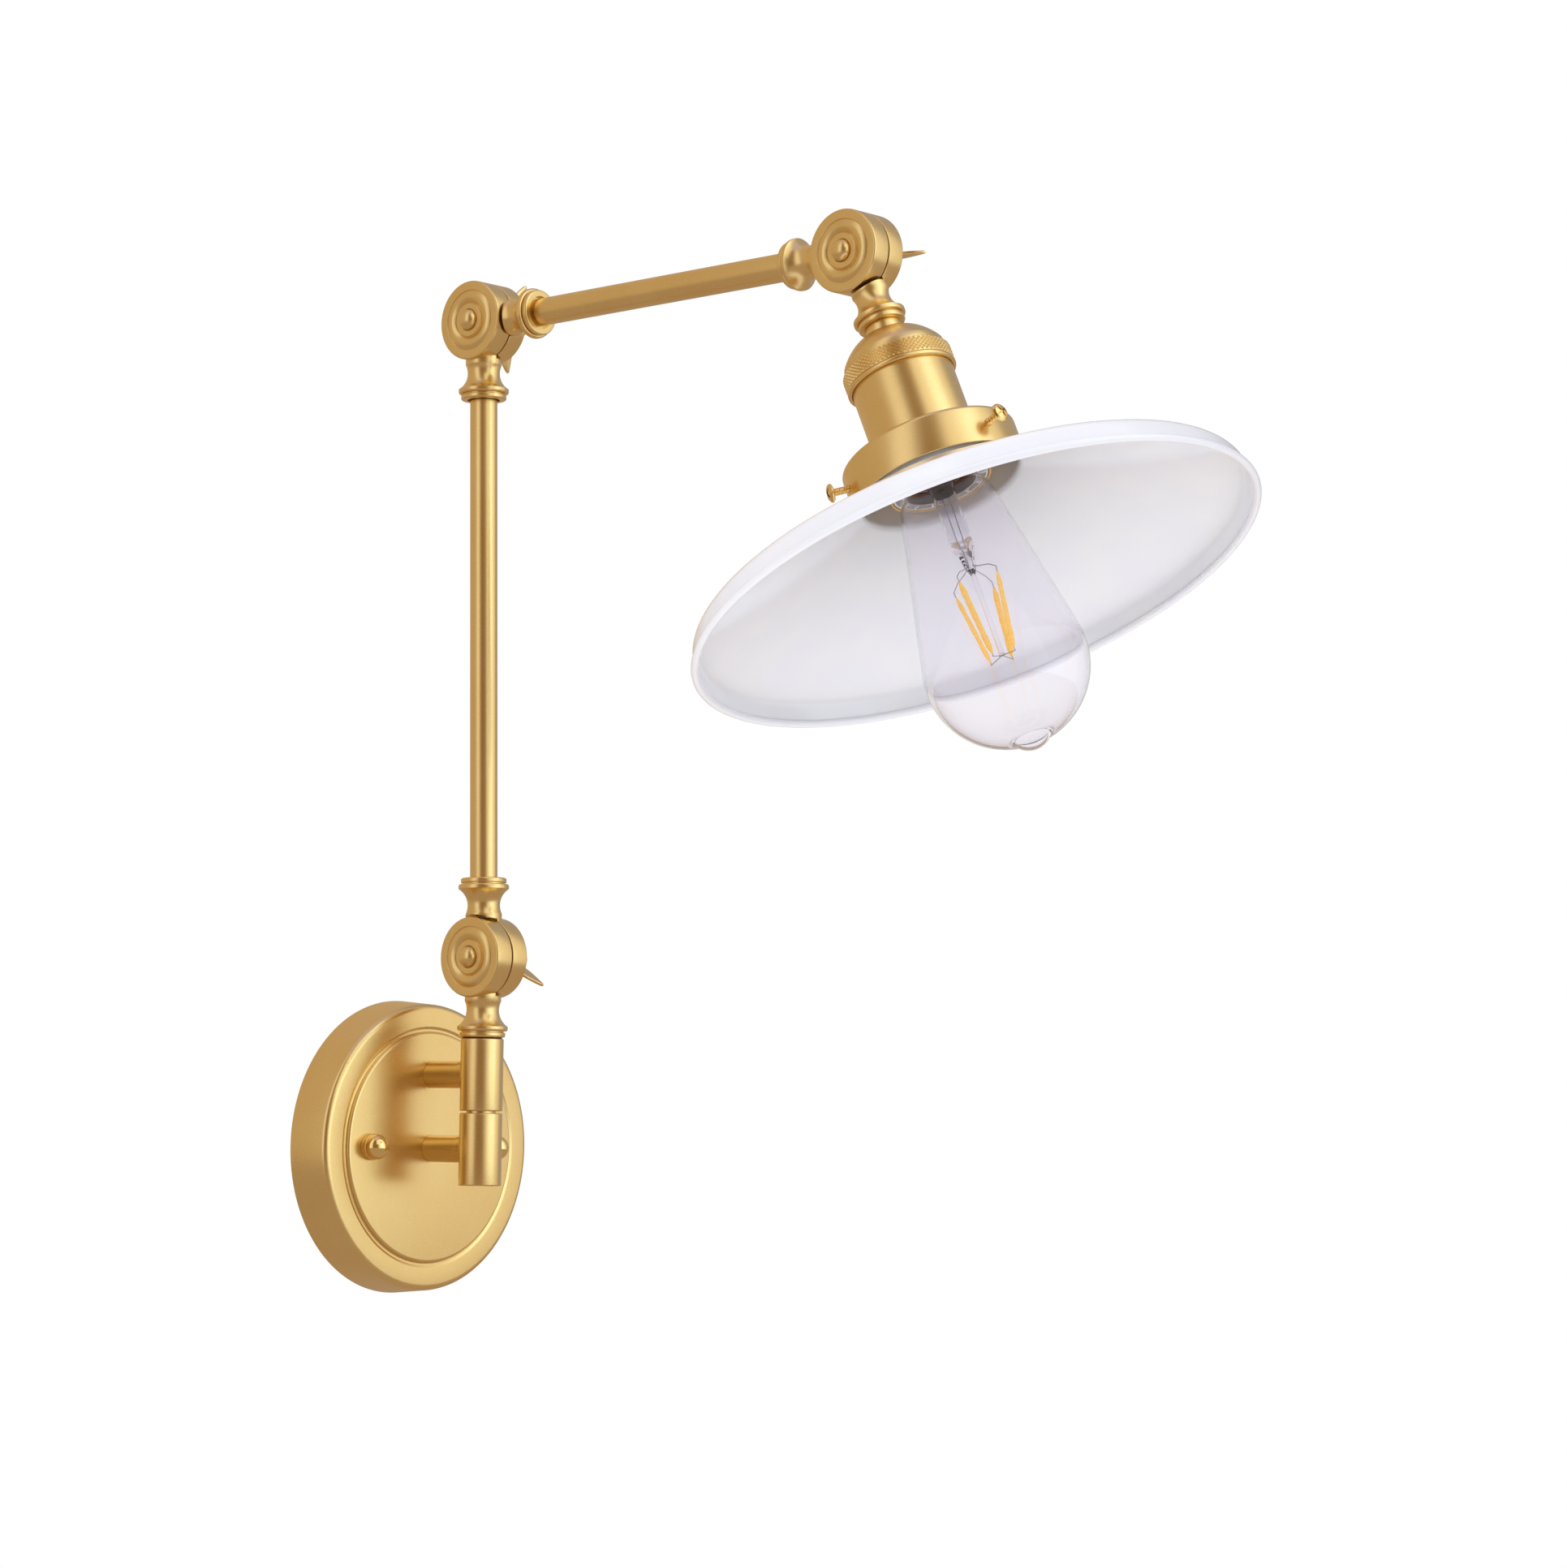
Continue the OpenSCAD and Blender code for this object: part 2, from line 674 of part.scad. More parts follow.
module wing_nut(angle) {
    color(satin_gold) rotate([angle, 0, 0]) difference() {
        union() {
            about_x(1) translate([0, 0, wing_foot_x])
                cylinder(r1 = wing_hub_d / 2, r2 = wing_hub_d / 2 - 1.4, h = wing_hub_h);
            for (turn = [0, 180]) rotate([turn, 0, 0]) translate([wing_foot_x, wing_t / 2, 0])
                rotate([90, 0, 0]) linear_extrude(wing_t)
                    polygon([for (c = wing_corners) [c[0] * wing_h, c[1] * wing_tip_r]]);
        }
        about_x(1) cylinder(r = bolt_d / 2 + running, h = far);
        about_x(1) translate([0, 0, wing_foot_x - far]) cylinder(r = far, h = far);
    }
}

module base_knuckle_lower() at_base(180) knuckle_half(-1, spigot_d);
module base_knuckle_upper() at_base(arm1_lean) knuckle_half(1, tube_d);
module base_bolt() at_base(0) bolt();
module base_friction_washer() at_base(0) friction_washer();
module base_wing_washer() at_base(0) wing_washer();
module base_wing_nut() at_base(0) wing_nut(base_wing_angle);

module elbow_knuckle_lower() at_elbow(arm1_lean + 180) knuckle_half(-1, tube_d);
module elbow_knuckle_upper() at_elbow(90 - arm2_rise) knuckle_half(1, tube_d);
module elbow_bolt() at_elbow(0) bolt();
module elbow_friction_washer() at_elbow(0) friction_washer();
module elbow_wing_washer() at_elbow(0) wing_washer();
module elbow_wing_nut() at_elbow(0) wing_nut(elbow_wing_angle);

module head_knuckle_arm() at_head(270 - arm2_rise) knuckle_half(-1, tube_d);
module head_knuckle_lamp() in_head() knuckle_half(1, nipple_d);
module head_bolt() at_head(0) bolt();
module head_friction_washer() at_head(0) friction_washer();
module head_wing_washer() at_head(0) wing_washer();
module head_wing_nut() at_head(0) wing_nut(head_wing_angle);

// Arms

module arm_tube(length) {
    color(satin_gold) translate([0, 0, stem_l - tube_seat])
        tube(tube_d / 2, tube_bore_d / 2, length - 2 * (stem_l - tube_seat));
}

module arm_lead(length) {
    color(flex_grey) translate([0, 0, disc_r + lap_clear])
        cylinder(d = lead_d, h = length - 2 * (disc_r + lap_clear));
}

module lower_arm_tube() at_base(arm1_lean) arm_tube(lower_arm_l);
module lower_arm_lead() at_base(arm1_lean) arm_lead(lower_arm_l);
module upper_arm_tube() at_elbow(90 - arm2_rise) arm_tube(upper_arm_l);
module upper_arm_lead() at_elbow(90 - arm2_rise) arm_lead(upper_arm_l);

// Socket

module head_nipple() {
    color(polished_gold) in_head() translate([0, 0, stem_l - tube_seat])
        tube(nipple_d / 2, passage_r, nipple_end - stem_l + tube_seat);
}

module head_neck() {
    color(satin_gold) in_head() translate([0, 0, neck_s]) difference() {
        rotate_extrude() ring_profile(0, neck_d / 2, neck_h, 0.5);
        translate([0, 0, -e]) cylinder(r = nipple_d / 2 + fitted, h = neck_h + 2 * e);
    }
}

module nipple_nut() {
    color(zinc) in_head() translate([0, 0, cap_s + cap_wall]) difference() {
        hex(nipple_nut_af, nipple_nut_h);
        translate([0, 0, -e]) cylinder(d = nipple_d, h = nipple_nut_h + 2 * e);
    }
}

module cap_half_section(inset) {
    intersection() {
        translate([0, cap_dome_mid]) circle(r = cap_dome_r - inset, $fn = 180);
        translate([0, cap_s + inset]) square([cap_r - 0.8 - inset, cap_h]);
    }
}

module socket_cap() {
    lip = 1.2;
    color(satin_gold) in_head() difference() {
        rotate_extrude() difference() {
            union() {
                cap_half_section(0);
                translate([0, band_s]) ring_profile(0, cap_r, band_h, lip);
            }
            cap_half_section(cap_wall);
            translate([0, band_s + 1.4]) square([shell_r + fitted, cap_h]);
            translate([0, cap_end]) square([far, far]);
        }
        translate([0, 0, cap_s - 1]) cylinder(r = nipple_d / 2 + fitted, h = 4);
    }
}

module socket_shell() {
    color(satin_gold) in_head() translate([0, 0, shell_s])
        tube(shell_r, shell_r - shell_wall, shell_l);
}

module socket_core() {
    mouth_r1 = core_r - 1;
    mouth_r0 = core_bore_r + 0.9;
    color(porcelain) in_head() difference() {
        translate([0, 0, core_floor_s]) rotate_extrude()
            ring_profile(0, core_r, core_end - core_floor_s, 0.6);
        translate([0, 0, core_floor_s + core_floor_t]) cylinder(r = core_bore_r, h = far);
        difference() {
            translate([0, 0, core_end - rib_depth]) tube(mouth_r1, mouth_r0, rib_depth + 1);
            for (i = [0 : core_ribs - 1]) rotate(i * 360 / core_ribs)
                translate([mouth_r0 - 1, -rib_w / 2, core_end - rib_depth - 1])
                    cube([mouth_r1 - mouth_r0 + 2, rib_w, rib_depth + 3]);
        }
        translate([0, 0, core_floor_s - e]) cylinder(r = 2.2, h = core_floor_t + 2 * e);
    }
}

module socket_thread_shell() {
    floor_s = core_floor_s + core_floor_t;
    color(copper) in_head() translate([0, 0, floor_s])
        tube(core_bore_r, bulb_base_d / 2 + 0.2, core_end - rib_depth - floor_s);
}

module socket_contact() {
    floor_s = core_floor_s + core_floor_t;
    tab_top = contact_s - axial - floor_s;
    color(copper) in_head() translate([0, 0, floor_s]) {
        cylinder(r = 4.4, h = 0.5);
        cylinder(r = 1.8, h = tab_top);
        translate([0, 0, 0.5 - core_floor_t]) cylinder(r = 2, h = core_floor_t);
    }
}

// Shade holder and its screws, spread evenly round the neck

module holder_half_section(inset) {
    r = holder_r - inset;
    edge = holder_edge - inset / 2;
    translate([0, holder_s + inset]) square([r - edge, holder_h]);
    translate([0, holder_s + inset + edge]) square([r, holder_h]);
    translate([r - edge, holder_s + inset + edge]) circle(r = edge);
}

module shade_holder() {
    color(satin_gold) in_head() difference() {
        rotate_extrude($fn = 144) difference() {
            holder_half_section(0);
            holder_half_section(holder_wall);
            translate([0, holder_end]) square([far, far]);
        }
        translate([0, 0, holder_s - e]) cylinder(r = shell_r + fitted, h = holder_wall + 2 * e);
        for (a = screw_angles) shade_screw_place(a) translate([0, 0, shade_neck_r])
            cylinder(r = shade_screw_d / 2 + running, h = holder_r);
    }
}
screw_angles = [101, 221, 341];

module shade_screw_place(a) translate([0, 0, screw_s]) rotate([0, 90, a]) children();

module holder_ring_nut() {
    color(polished_gold) in_head() translate([0, 0, holder_s + holder_wall])
        tube(ring_nut_r, shell_r, ring_nut_h);
}

module shade_screw(a) {
    groove_w = 0.9;
    groove_t = 0.9;
    color(polished_gold) in_head() shade_screw_place(a) difference() {
        union() {
            translate([0, 0, screw_tip_r])
                cylinder(d = shade_screw_d, h = screw_head_r - screw_tip_r + e);
            translate([0, 0, screw_head_r]) {
                rotate_extrude() ring_profile(0, shade_screw_head_d / 2, 1, 0.3);
                translate([0, 0, 1 - e]) rotate_extrude()
                    ring_quarter(shade_screw_head_d / 2 - 0.2, screw_head_h - 1);
            }
        }
        for (turn = [0, 90]) rotate(turn)
            translate([-far / 2, -groove_w / 2, screw_head_r + screw_head_h - groove_t])
                cube([far, groove_w, groove_t + 1]);
    }
}
module shade_screw_front() shade_screw(screw_angles[0]);
module shade_screw_left() shade_screw(screw_angles[1]);
module shade_screw_right() shade_screw(screw_angles[2]);

// Shade: the middle line of its wall, from the neck to the rim, thickened by a round nib

module wall_stroke(a, b) {
    d = b - a;
    translate(a) rotate(atan2(d[1], d[0])) translate([0, -shade_wall / 2])
        square([norm(d), shade_wall]);
    translate(b) circle(d = shade_wall);
}

module shade() {
    mid = shade_wall / 2;
    corner_r = 5;
    shoulder = [shade_r - skirt_spread - mid, shoulder_s];
    rim = [shade_r - rim_bead_r, rim_s - rim_bead_r];
    line = [[shade_neck_r - mid, shade_neck_s], [shade_neck_r - mid, cone_s + mid],
        shoulder - [corner_r * cos(cone_slope), corner_r * sin(cone_slope)],
        shoulder + [-0.2 * corner_r * cos(cone_slope) + 0.5, 0.5 - 0.2 * corner_r * sin(cone_slope)],
        shoulder + [0.9, corner_r * 0.75], rim];
    color(white_enamel) in_head() rotate_extrude($fn = 180) {
        for (i = [1 : len(line) - 1]) wall_stroke(line[i - 1], line[i]);
        translate(rim) circle(r = rim_bead_r, $fn = 32);
    }
}
cone_slope = atan2(cone_h, shade_r - skirt_spread - shade_neck_r);

// Bulb

module glass_half_section(inset) {
    edge = inset / cos(bulb_side_angle);
    intersection() {
        translate([0, globe_s]) circle(r = bulb_r - inset, $fn = 180);
        translate([0, tangent_s]) square([bulb_r, 2 * bulb_r]);
    }
    polygon([[0, glass_foot_s], [glass_foot_r - inset, glass_foot_s],
        [glass_foot_r - inset, glass_foot_s + glass_grip], [glass_foot_r - inset + 1.1, glass_bend_s],
        [glass_neck_r - edge, glass_neck_s], [tangent_r - inset * cos(bulb_side_angle),
        tangent_s + inset * sin(bulb_side_angle)], [0, tangent_s + inset * sin(bulb_side_angle)]]);
}

module bulb_glass() {
    color(clear_glass) in_head() rotate_extrude($fn = 144) {
        difference() {
            glass_half_section(0);
            difference() {
                glass_half_section(glass_t);
                translate([0, glass_foot_s - 1]) square([far, 1 + glass_t]);
            }
        }
        translate([0, globe_s + bulb_r - 1]) square([pip_r, pip_h - pip_r / 2 + 1]);
        intersection() {
            translate([0, globe_s + bulb_r + pip_h - pip_r]) circle(r = pip_r);
            translate([0, globe_s + bulb_r]) square([pip_r, pip_h]);
        }
    }
}

module bulb_base() {
    r1 = bulb_base_d / 2;
    r0 = r1 - base_wall;
    color(zinc) in_head() translate([0, 0, bulb_s]) rotate_extrude()
        polygon([[insulator_r, 0], [r1, base_cone_h], [r1, bulb_base_l], [r0, bulb_base_l],
            [r0, base_cone_h + base_wall / 2], [insulator_r, base_wall]]);
}

module bulb_insulator() {
    color(black_glass) in_head() translate([0, 0, bulb_s - insulator_h])
        cylinder(r1 = 5, r2 = insulator_r, h = insulator_h);
}

module bulb_contact() {
    color(zinc) in_head() translate([0, 0, bulb_s - insulator_h - contact_h])
        cylinder(r1 = 3.4, r2 = 4.4, h = contact_h);
}

module bulb_stem() {
    flare_s = glass_foot_s + glass_t;
    flare_r = 0.65 * glass_foot_r;
    neck_r = 3 * rod_r;
    flare_h = 0.8 * glass_foot_r;
    color(clear_glass) in_head() rotate_extrude()
        polygon([[0, flare_s], [flare_r, flare_s], [neck_r, flare_s + flare_h], [neck_r, pinch_s],
            [rod_r, filament_top_s], [rod_r, filament_top_s + filament_drop],
            [0, filament_top_s + filament_drop]]);
}

module filament_place(a) {
    rotate(a) translate([filament_top_r, 0, filament_top_s])
        rotate([0, -asin((filament_top_r - filament_foot_r) / filament_l), 0]) children();
}

module bulb_filaments() {
    color(filament_yellow) in_head() for (a = filament_angles) filament_place(a)
        cylinder(d = filament_d, h = filament_l);
}

module bulb_wires() {
    // Wires from the pinch out to the filament tops, and from the rod's end to the filament feet
    top_rise = filament_top_s - pinch_s - 1;
    top_reach = filament_top_r - 1.2;
    foot_s = filament_top_s + filament_drop + 0.8;
    color(steel) in_head() {
        translate([0, 0, pinch_s - 4]) tube(3.5, 3, 4);
        for (a = [0, 90]) rotate(a) translate([-filament_foot_r, 0, foot_s]) rotate([0, 90, 0])
            cylinder(r = wire_r, h = 2 * filament_foot_r);
        for (a = filament_angles) rotate(a) {
            translate([3.2, 0, pinch_s - 0.6]) rotate([0, atan2(top_reach - 2, top_rise), 0])
                cylinder(r = wire_r, h = norm([top_reach - 2, top_rise]));
        }
    }
}

mounting_bracket();
ground_screw();
canopy_studs();
stud_nuts();
canopy_cover();
cap_nut_left();
cap_nut_right();
lower_post();
upper_post();
post_nuts();
lower_sleeve();
upper_sleeve();
swivel_shaft();
swivel_washer();
swivel_retaining_nut();
base_knuckle_lower();
base_knuckle_upper();
base_bolt();
base_friction_washer();
base_wing_washer();
base_wing_nut();
lower_arm_tube();
lower_arm_lead();
elbow_knuckle_lower();
elbow_knuckle_upper();
elbow_bolt();
elbow_friction_washer();
elbow_wing_washer();
elbow_wing_nut();
upper_arm_tube();
upper_arm_lead();
head_knuckle_arm();
head_knuckle_lamp();
head_bolt();
head_friction_washer();
head_wing_washer();
head_wing_nut();
head_nipple();
head_neck();
nipple_nut();
socket_cap();
socket_shell();
socket_core();
socket_thread_shell();
socket_contact();
shade_holder();
holder_ring_nut();
shade();
shade_screw_front();
shade_screw_left();
shade_screw_right();
bulb_glass();
bulb_base();
bulb_insulator();
bulb_contact();
bulb_stem();
bulb_filaments();
bulb_wires();
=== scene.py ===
"""Adjustable wall lamp in satin gold, with a white enamelled shade and a clear filament bulb.

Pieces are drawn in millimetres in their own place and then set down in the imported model's
frame, in metres: +Z up, the wall at Y = 0, the lamp standing out towards -Y.
"""

from __future__ import annotations

import json
import logging
import math
from dataclasses import dataclass, field
from enum import Enum
from functools import lru_cache
from typing import Any, Callable, Iterable, Sequence

import bmesh
import bpy
from mathutils import Matrix, Vector

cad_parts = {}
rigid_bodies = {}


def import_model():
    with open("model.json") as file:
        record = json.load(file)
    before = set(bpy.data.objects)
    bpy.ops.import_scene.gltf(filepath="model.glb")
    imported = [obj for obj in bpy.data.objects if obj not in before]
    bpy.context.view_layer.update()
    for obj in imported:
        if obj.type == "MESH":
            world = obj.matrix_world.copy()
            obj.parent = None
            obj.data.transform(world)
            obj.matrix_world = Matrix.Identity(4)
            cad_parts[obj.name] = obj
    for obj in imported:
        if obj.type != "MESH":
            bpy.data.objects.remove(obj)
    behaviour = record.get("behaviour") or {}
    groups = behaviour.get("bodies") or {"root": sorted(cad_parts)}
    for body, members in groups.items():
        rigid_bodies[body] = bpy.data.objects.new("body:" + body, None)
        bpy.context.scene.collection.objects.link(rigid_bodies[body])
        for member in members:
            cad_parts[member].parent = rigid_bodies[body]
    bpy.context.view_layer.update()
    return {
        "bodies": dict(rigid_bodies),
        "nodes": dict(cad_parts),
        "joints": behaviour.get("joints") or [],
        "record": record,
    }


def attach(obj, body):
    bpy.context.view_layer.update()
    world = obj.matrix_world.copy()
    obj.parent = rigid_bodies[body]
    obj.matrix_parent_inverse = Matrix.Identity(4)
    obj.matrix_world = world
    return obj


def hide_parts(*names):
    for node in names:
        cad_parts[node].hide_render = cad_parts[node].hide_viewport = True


LOG = logging.getLogger("wall_lamp")
MM = 0.001
SHARP_ANGLE = math.radians(38)
FLAT_ANGLE = math.radians(0.5)
WELD = 0.005
THROUGH = 30.0
Point = tuple[float, float]
Colour = tuple[float, float, float]


class Slot(Enum):
    """The record's material slots."""

    SATIN_GOLD = "satin_gold"
    POLISHED_GOLD = "polished_gold"
    ZINC = "zinc"
    STEEL = "steel"
    GREEN = "green_paint"
    NYLON = "black_nylon"
    FIBRE = "fibre"
    LEAD = "lead_sheath"
    ENAMEL = "white_enamel"
    PORCELAIN = "porcelain"
    COPPER = "copper"
    GLASS = "clear_glass"
    NICKEL = "nickel"
    VITRITE = "black_glass"
    FILAMENT = "filament_yellow"


class Side(Enum):
    """Which side of the arms' plane a knuckle disc lies on."""

    BOLT = -1
    NUT = 1


# Shader building


class Signal:
    """A node's value that takes part in sums."""

    def __init__(self, wiring: "Wiring", socket: bpy.types.NodeSocket) -> None:
        """Keeps the socket and the nodes it belongs to."""
        self.wiring = wiring
        self.socket = socket

    def _with(self, operation: str, first: Any, second: Any) -> "Signal":
        """Adds one Math node."""
        return self.wiring.maths(operation, first, second)

    def __add__(self, other: Any) -> "Signal":
        """self + other"""
        return self._with("ADD", self, other)

    __radd__ = __add__

    def __sub__(self, other: Any) -> "Signal":
        """self - other"""
        return self._with("SUBTRACT", self, other)

    def __rsub__(self, other: Any) -> "Signal":
        """other - self"""
        return self._with("SUBTRACT", other, self)

    def __mul__(self, other: Any) -> "Signal":
        """self * other"""
        return self._with("MULTIPLY", self, other)

    __rmul__ = __mul__

    def above(self, low: float, high: float) -> "Signal":
        """Rises smoothly from 0 at low to 1 at high.

        Args:
            low: where it starts to rise.
            high: where it reaches 1.
        Returns:
            The new value.
        """
        node = self.wiring.add(
            "ShaderNodeMapRange",
            {"interpolation_type": "SMOOTHSTEP"},
            {"Value": self, "From Min": low, "From Max": high},
        )
        return Signal(self.wiring, node.outputs[0])

    def between(self, low: float, high: float, soft: float) -> "Signal":
        """Is 1 from low to high, and fades to 0 on both sides."""
        return self.above(low - soft, low + soft) * (1 - self.above(high - soft, high + soft))


class Wiring:
    """A tree of nodes that is being wired up."""

    def __init__(self, tree: bpy.types.NodeTree) -> None:
        """Keeps the tree."""
        self.tree = tree

    def add(self, kind: str, settings: dict[str, Any] | None = None,
            inputs: dict[Any, Any] | None = None) -> bpy.types.Node:
        """Adds a node.

        Args:
            kind: the node's type.
            settings: properties set before its sockets are used.
            inputs: values or links by socket name or number.
        Returns:
            The new node.
        """
        node = self.tree.nodes.new(kind)
        for key, value in (settings or {}).items():
            setattr(node, key, value)
        for key, value in (inputs or {}).items():
            self.feed(node, key, value)
        return node

    def feed(self, node: bpy.types.Node, key: Any, value: Any) -> None:
        """Sets or links one socket of a node.

        Args:
            node: the node to feed.
            key: the socket's name or number.
            value: a link, a colour or a plain value.
        """
        socket = node.inputs[key]
        if isinstance(value, Signal):
            value = value.socket
        if isinstance(value, bpy.types.NodeSocket):
            self.tree.links.new(value, socket)
        elif isinstance(value, tuple) and len(value) == 3 and socket.type == "RGBA":
            socket.default_value = (*value, 1.0)
        else:
            socket.default_value = value

    def maths(self, operation: str, first: Any, second: Any = 0.0) -> Signal:
        """Adds one Math node."""
        node = self.add("ShaderNodeMath", {"operation": operation}, {0: first, 1: second})
        return Signal(self, node.outputs[0])

    def blend(self, factor: Any, first: Any, second: Any) -> bpy.types.NodeSocket:
        """Mixes two colours."""
        node = self.add("ShaderNodeMix", {"data_type": "RGBA"}, {0: factor, 6: first, 7: second})
        return node.outputs[2]


class Shader(Wiring):
    """One material's nodes, round a single Principled shader."""

    def __init__(self, name: str) -> None:
        """Makes an empty material with its shader and output.

        Args:
            name: the material's name.
        """
        self.material = bpy.data.materials.new(name)
        self.material.use_nodes = True
        super().__init__(self.material.node_tree)
        self.surface = self.tree.nodes["Principled BSDF"]
        self.place = self.add("ShaderNodeTexCoord").outputs["Object"]

    def set(self, **values: Any) -> None:
        """Sets the Principled shader's sockets, with _ for a blank in a name."""
        for key, value in values.items():
            self.feed(self.surface, key.replace("_", " "), value)

    def noise(self, scale: float, detail: float = 2.0, rough: float = 0.5,
              stretch: Colour = (1, 1, 1)) -> Signal:
        """A noise value from 0 to 1, with scale in cells per metre.

        Args:
            scale: cells per metre.
            detail: how many finer layers it has.
            rough: how strong the finer layers are.
            stretch: the scale along each axis.
        Returns:
            The value.
        """
        spot = self.add("ShaderNodeMapping", None, {"Vector": self.place, "Scale": stretch})
        node = self.add("ShaderNodeTexNoise", None, {
            "Vector": spot.outputs[0], "Scale": scale, "Detail": detail, "Roughness": rough})
        return Signal(self, node.outputs["Fac"])

    def cells(self, scale: float) -> Signal:
        """A random value for each small cell, with scale in cells per metre.

        Args:
            scale: cells per metre.
        Returns:
            The value.
        """
        node = self.add("ShaderNodeTexVoronoi", None, {"Vector": self.place, "Scale": scale})
        parts = self.add("ShaderNodeSeparateColor", None, {0: node.outputs["Color"]})
        return Signal(self, parts.outputs[0])

    def bump(self, height: Any, strength: float, depth: float) -> None:
        """Bumps the surface by a height, with its depth in metres.

        Args:
            height: the value that raises the surface.
            strength: how strongly it counts.
            depth: its height, in metres.
        """
        node = self.add("ShaderNodeBump", None, {
            "Height": height, "Strength": strength, "Distance": depth})
        self.set(Normal=node.outputs[0])


@dataclass(frozen=True)
class Finish:
    """What every finish has: the slot it belongs to."""

    slot: Slot

    @lru_cache(maxsize=None)
    def material(self) -> bpy.types.Material:
        """Makes the material once.

        Returns:
            The material, the same one at every call.
        """
        shader = Shader(self.slot.value + "_finish")
        self.paint(shader)
        return shader.material

    def paint(self, shader: Shader) -> None:
        """Fills in the shader."""
        raise NotImplementedError


@dataclass(frozen=True)
class Metal(Finish):
    """A metal surface with a fine grain, cloudy tone and bright specks."""

    bright: Colour
    deep: Colour
    roughness: float
    grain: float = 2600.0
    grain_depth: float = 0.000012
    specks: float = 0.0
    spread: float = 0.08
    stretch: Colour = (1, 1, 1)
    cloud: float = 28.0
    speck_colour: Colour = (1.0, 0.93, 0.70)

    def paint(self, shader: Shader) -> None:
        """Tone drifts slowly, and the grain moves roughness and height.

        Args:
            shader: the material's nodes.
        """
        cloud = shader.noise(self.cloud, 3.0)
        grain = shader.noise(self.grain, 3.0, 0.6, self.stretch)
        tone = shader.blend(cloud.above(0.3, 0.7), self.deep, self.bright)
        if self.specks > 0:
            speck = shader.cells(self.grain * 0.9).above(0.9, 0.97) * self.specks
            tone = shader.blend(speck, tone, self.speck_colour)
        shader.set(Base_Color=tone, Metallic=1.0,
                   Roughness=(grain - 0.5) * self.spread + cloud * 0.04 + (self.roughness - 0.02))
        shader.bump(grain, 0.5, self.grain_depth)


@dataclass(frozen=True)
class Enamel(Finish):
    """Thick fired enamel: white, glossy, with a slow waviness under the gloss."""

    colour: Colour = (0.905, 0.92, 0.95)
    accent: Colour = (0.93, 0.935, 0.945)

    def paint(self, shader: Shader) -> None:
        """A clear coat over a slightly uneven white.

        Args:
            shader: the material's nodes.
        """
        wave = shader.noise(60.0, 1.0)
        fleck = shader.noise(900.0, 2.0)
        shader.set(Base_Color=shader.blend(wave.above(0.3, 0.75), self.colour, self.accent),
                   Roughness=0.2 + fleck * 0.06, Coat_Weight=0.9)
        shader.surface.inputs["Coat Roughness"].default_value = 0.04
        shader.bump(wave, 0.25, 0.0004)


@dataclass(frozen=True)
class ClearGlass(Finish):
    """Clear blown glass."""

    def paint(self, shader: Shader) -> None:
        """Transmits everything, with a trace of waviness.

        Args:
            shader: the material's nodes.
        """
        shader.set(Base_Color=(0.968, 0.955, 0.985), Roughness=0.0)
        shader.surface.inputs["Transmission Weight"].default_value = 1.0
        shader.surface.inputs["IOR"].default_value = 1.45
        shader.bump(shader.noise(45.0, 1.0), 0.08, 0.0004)


@dataclass(frozen=True)
class Moulded(Finish):
    """Plastic, fibre, paint, porcelain or another solid-coloured surface with a fine texture."""

    colour: Colour
    accent: Colour
    roughness: float
    grain: float = 700.0
    depth: float = 0.00004
    coat: float = 0.0
    # glow is painted light: the surface emits its own colour though nothing lights it from within.
    glow: float = 0.0

    def paint(self, shader: Shader) -> None:
        """Two tones mixed by grain, over a light bump, with a painted glow where glow is set.

        Args:
            shader: the material's nodes.
        """
        grain = shader.noise(self.grain, 4.0, 0.6)
        colour = shader.blend(grain.above(0.35, 0.68), self.colour, self.accent)
        shader.set(Base_Color=colour, Roughness=self.roughness + (grain - 0.5) * 0.12,
                   Coat_Weight=self.coat)
        # Painted glow: the colour is emitted as light, so the surface shines under no lamp.
        if self.glow > 0:
            shader.set(Emission_Color=colour)
            shader.surface.inputs["Emission Strength"].default_value = self.glow
        shader.bump(grain, 0.35, self.depth)


SATIN_GOLD = Metal(Slot.SATIN_GOLD, (0.88, 0.645, 0.28), (0.85, 0.61, 0.25), 0.29,
                   grain=3200.0, grain_depth=0.00001, specks=0.2)
POLISHED_GOLD = Metal(Slot.POLISHED_GOLD, (0.94, 0.70, 0.30), (0.91, 0.65, 0.25), 0.10,
                      grain=900.0, grain_depth=0.000006, spread=0.05)
ZINC = Metal(Slot.ZINC, (0.72, 0.73, 0.75), (0.60, 0.61, 0.63), 0.32, grain=500.0)
STEEL = Metal(Slot.STEEL, (0.56, 0.56, 0.57), (0.46, 0.46, 0.47), 0.34, stretch=(1, 0.08, 0.08))
GREEN = Moulded(Slot.GREEN, (0.02, 0.16, 0.05), (0.03, 0.22, 0.08), 0.35, coat=0.4)
NYLON = Moulded(Slot.NYLON, (0.012, 0.012, 0.012), (0.025, 0.024, 0.023), 0.5)
FIBRE = Moulded(Slot.FIBRE, (0.07, 0.04, 0.022), (0.11, 0.065, 0.035), 0.8, grain=1500.0)
LEAD = Moulded(Slot.LEAD, (0.17, 0.17, 0.17), (0.22, 0.22, 0.22), 0.6)
ENAMEL = Enamel(Slot.ENAMEL)
PORCELAIN = Moulded(Slot.PORCELAIN, (0.92, 0.91, 0.89), (0.95, 0.94, 0.92), 0.22, grain=120.0,
                    depth=0.00006, coat=0.8)
COPPER = Metal(Slot.COPPER, (0.86, 0.56, 0.48), (0.76, 0.46, 0.38), 0.35, grain=1200.0)
GLASS = ClearGlass(Slot.GLASS)
NICKEL = Metal(Slot.NICKEL, (0.78, 0.77, 0.75), (0.70, 0.69, 0.67), 0.2, grain=800.0)
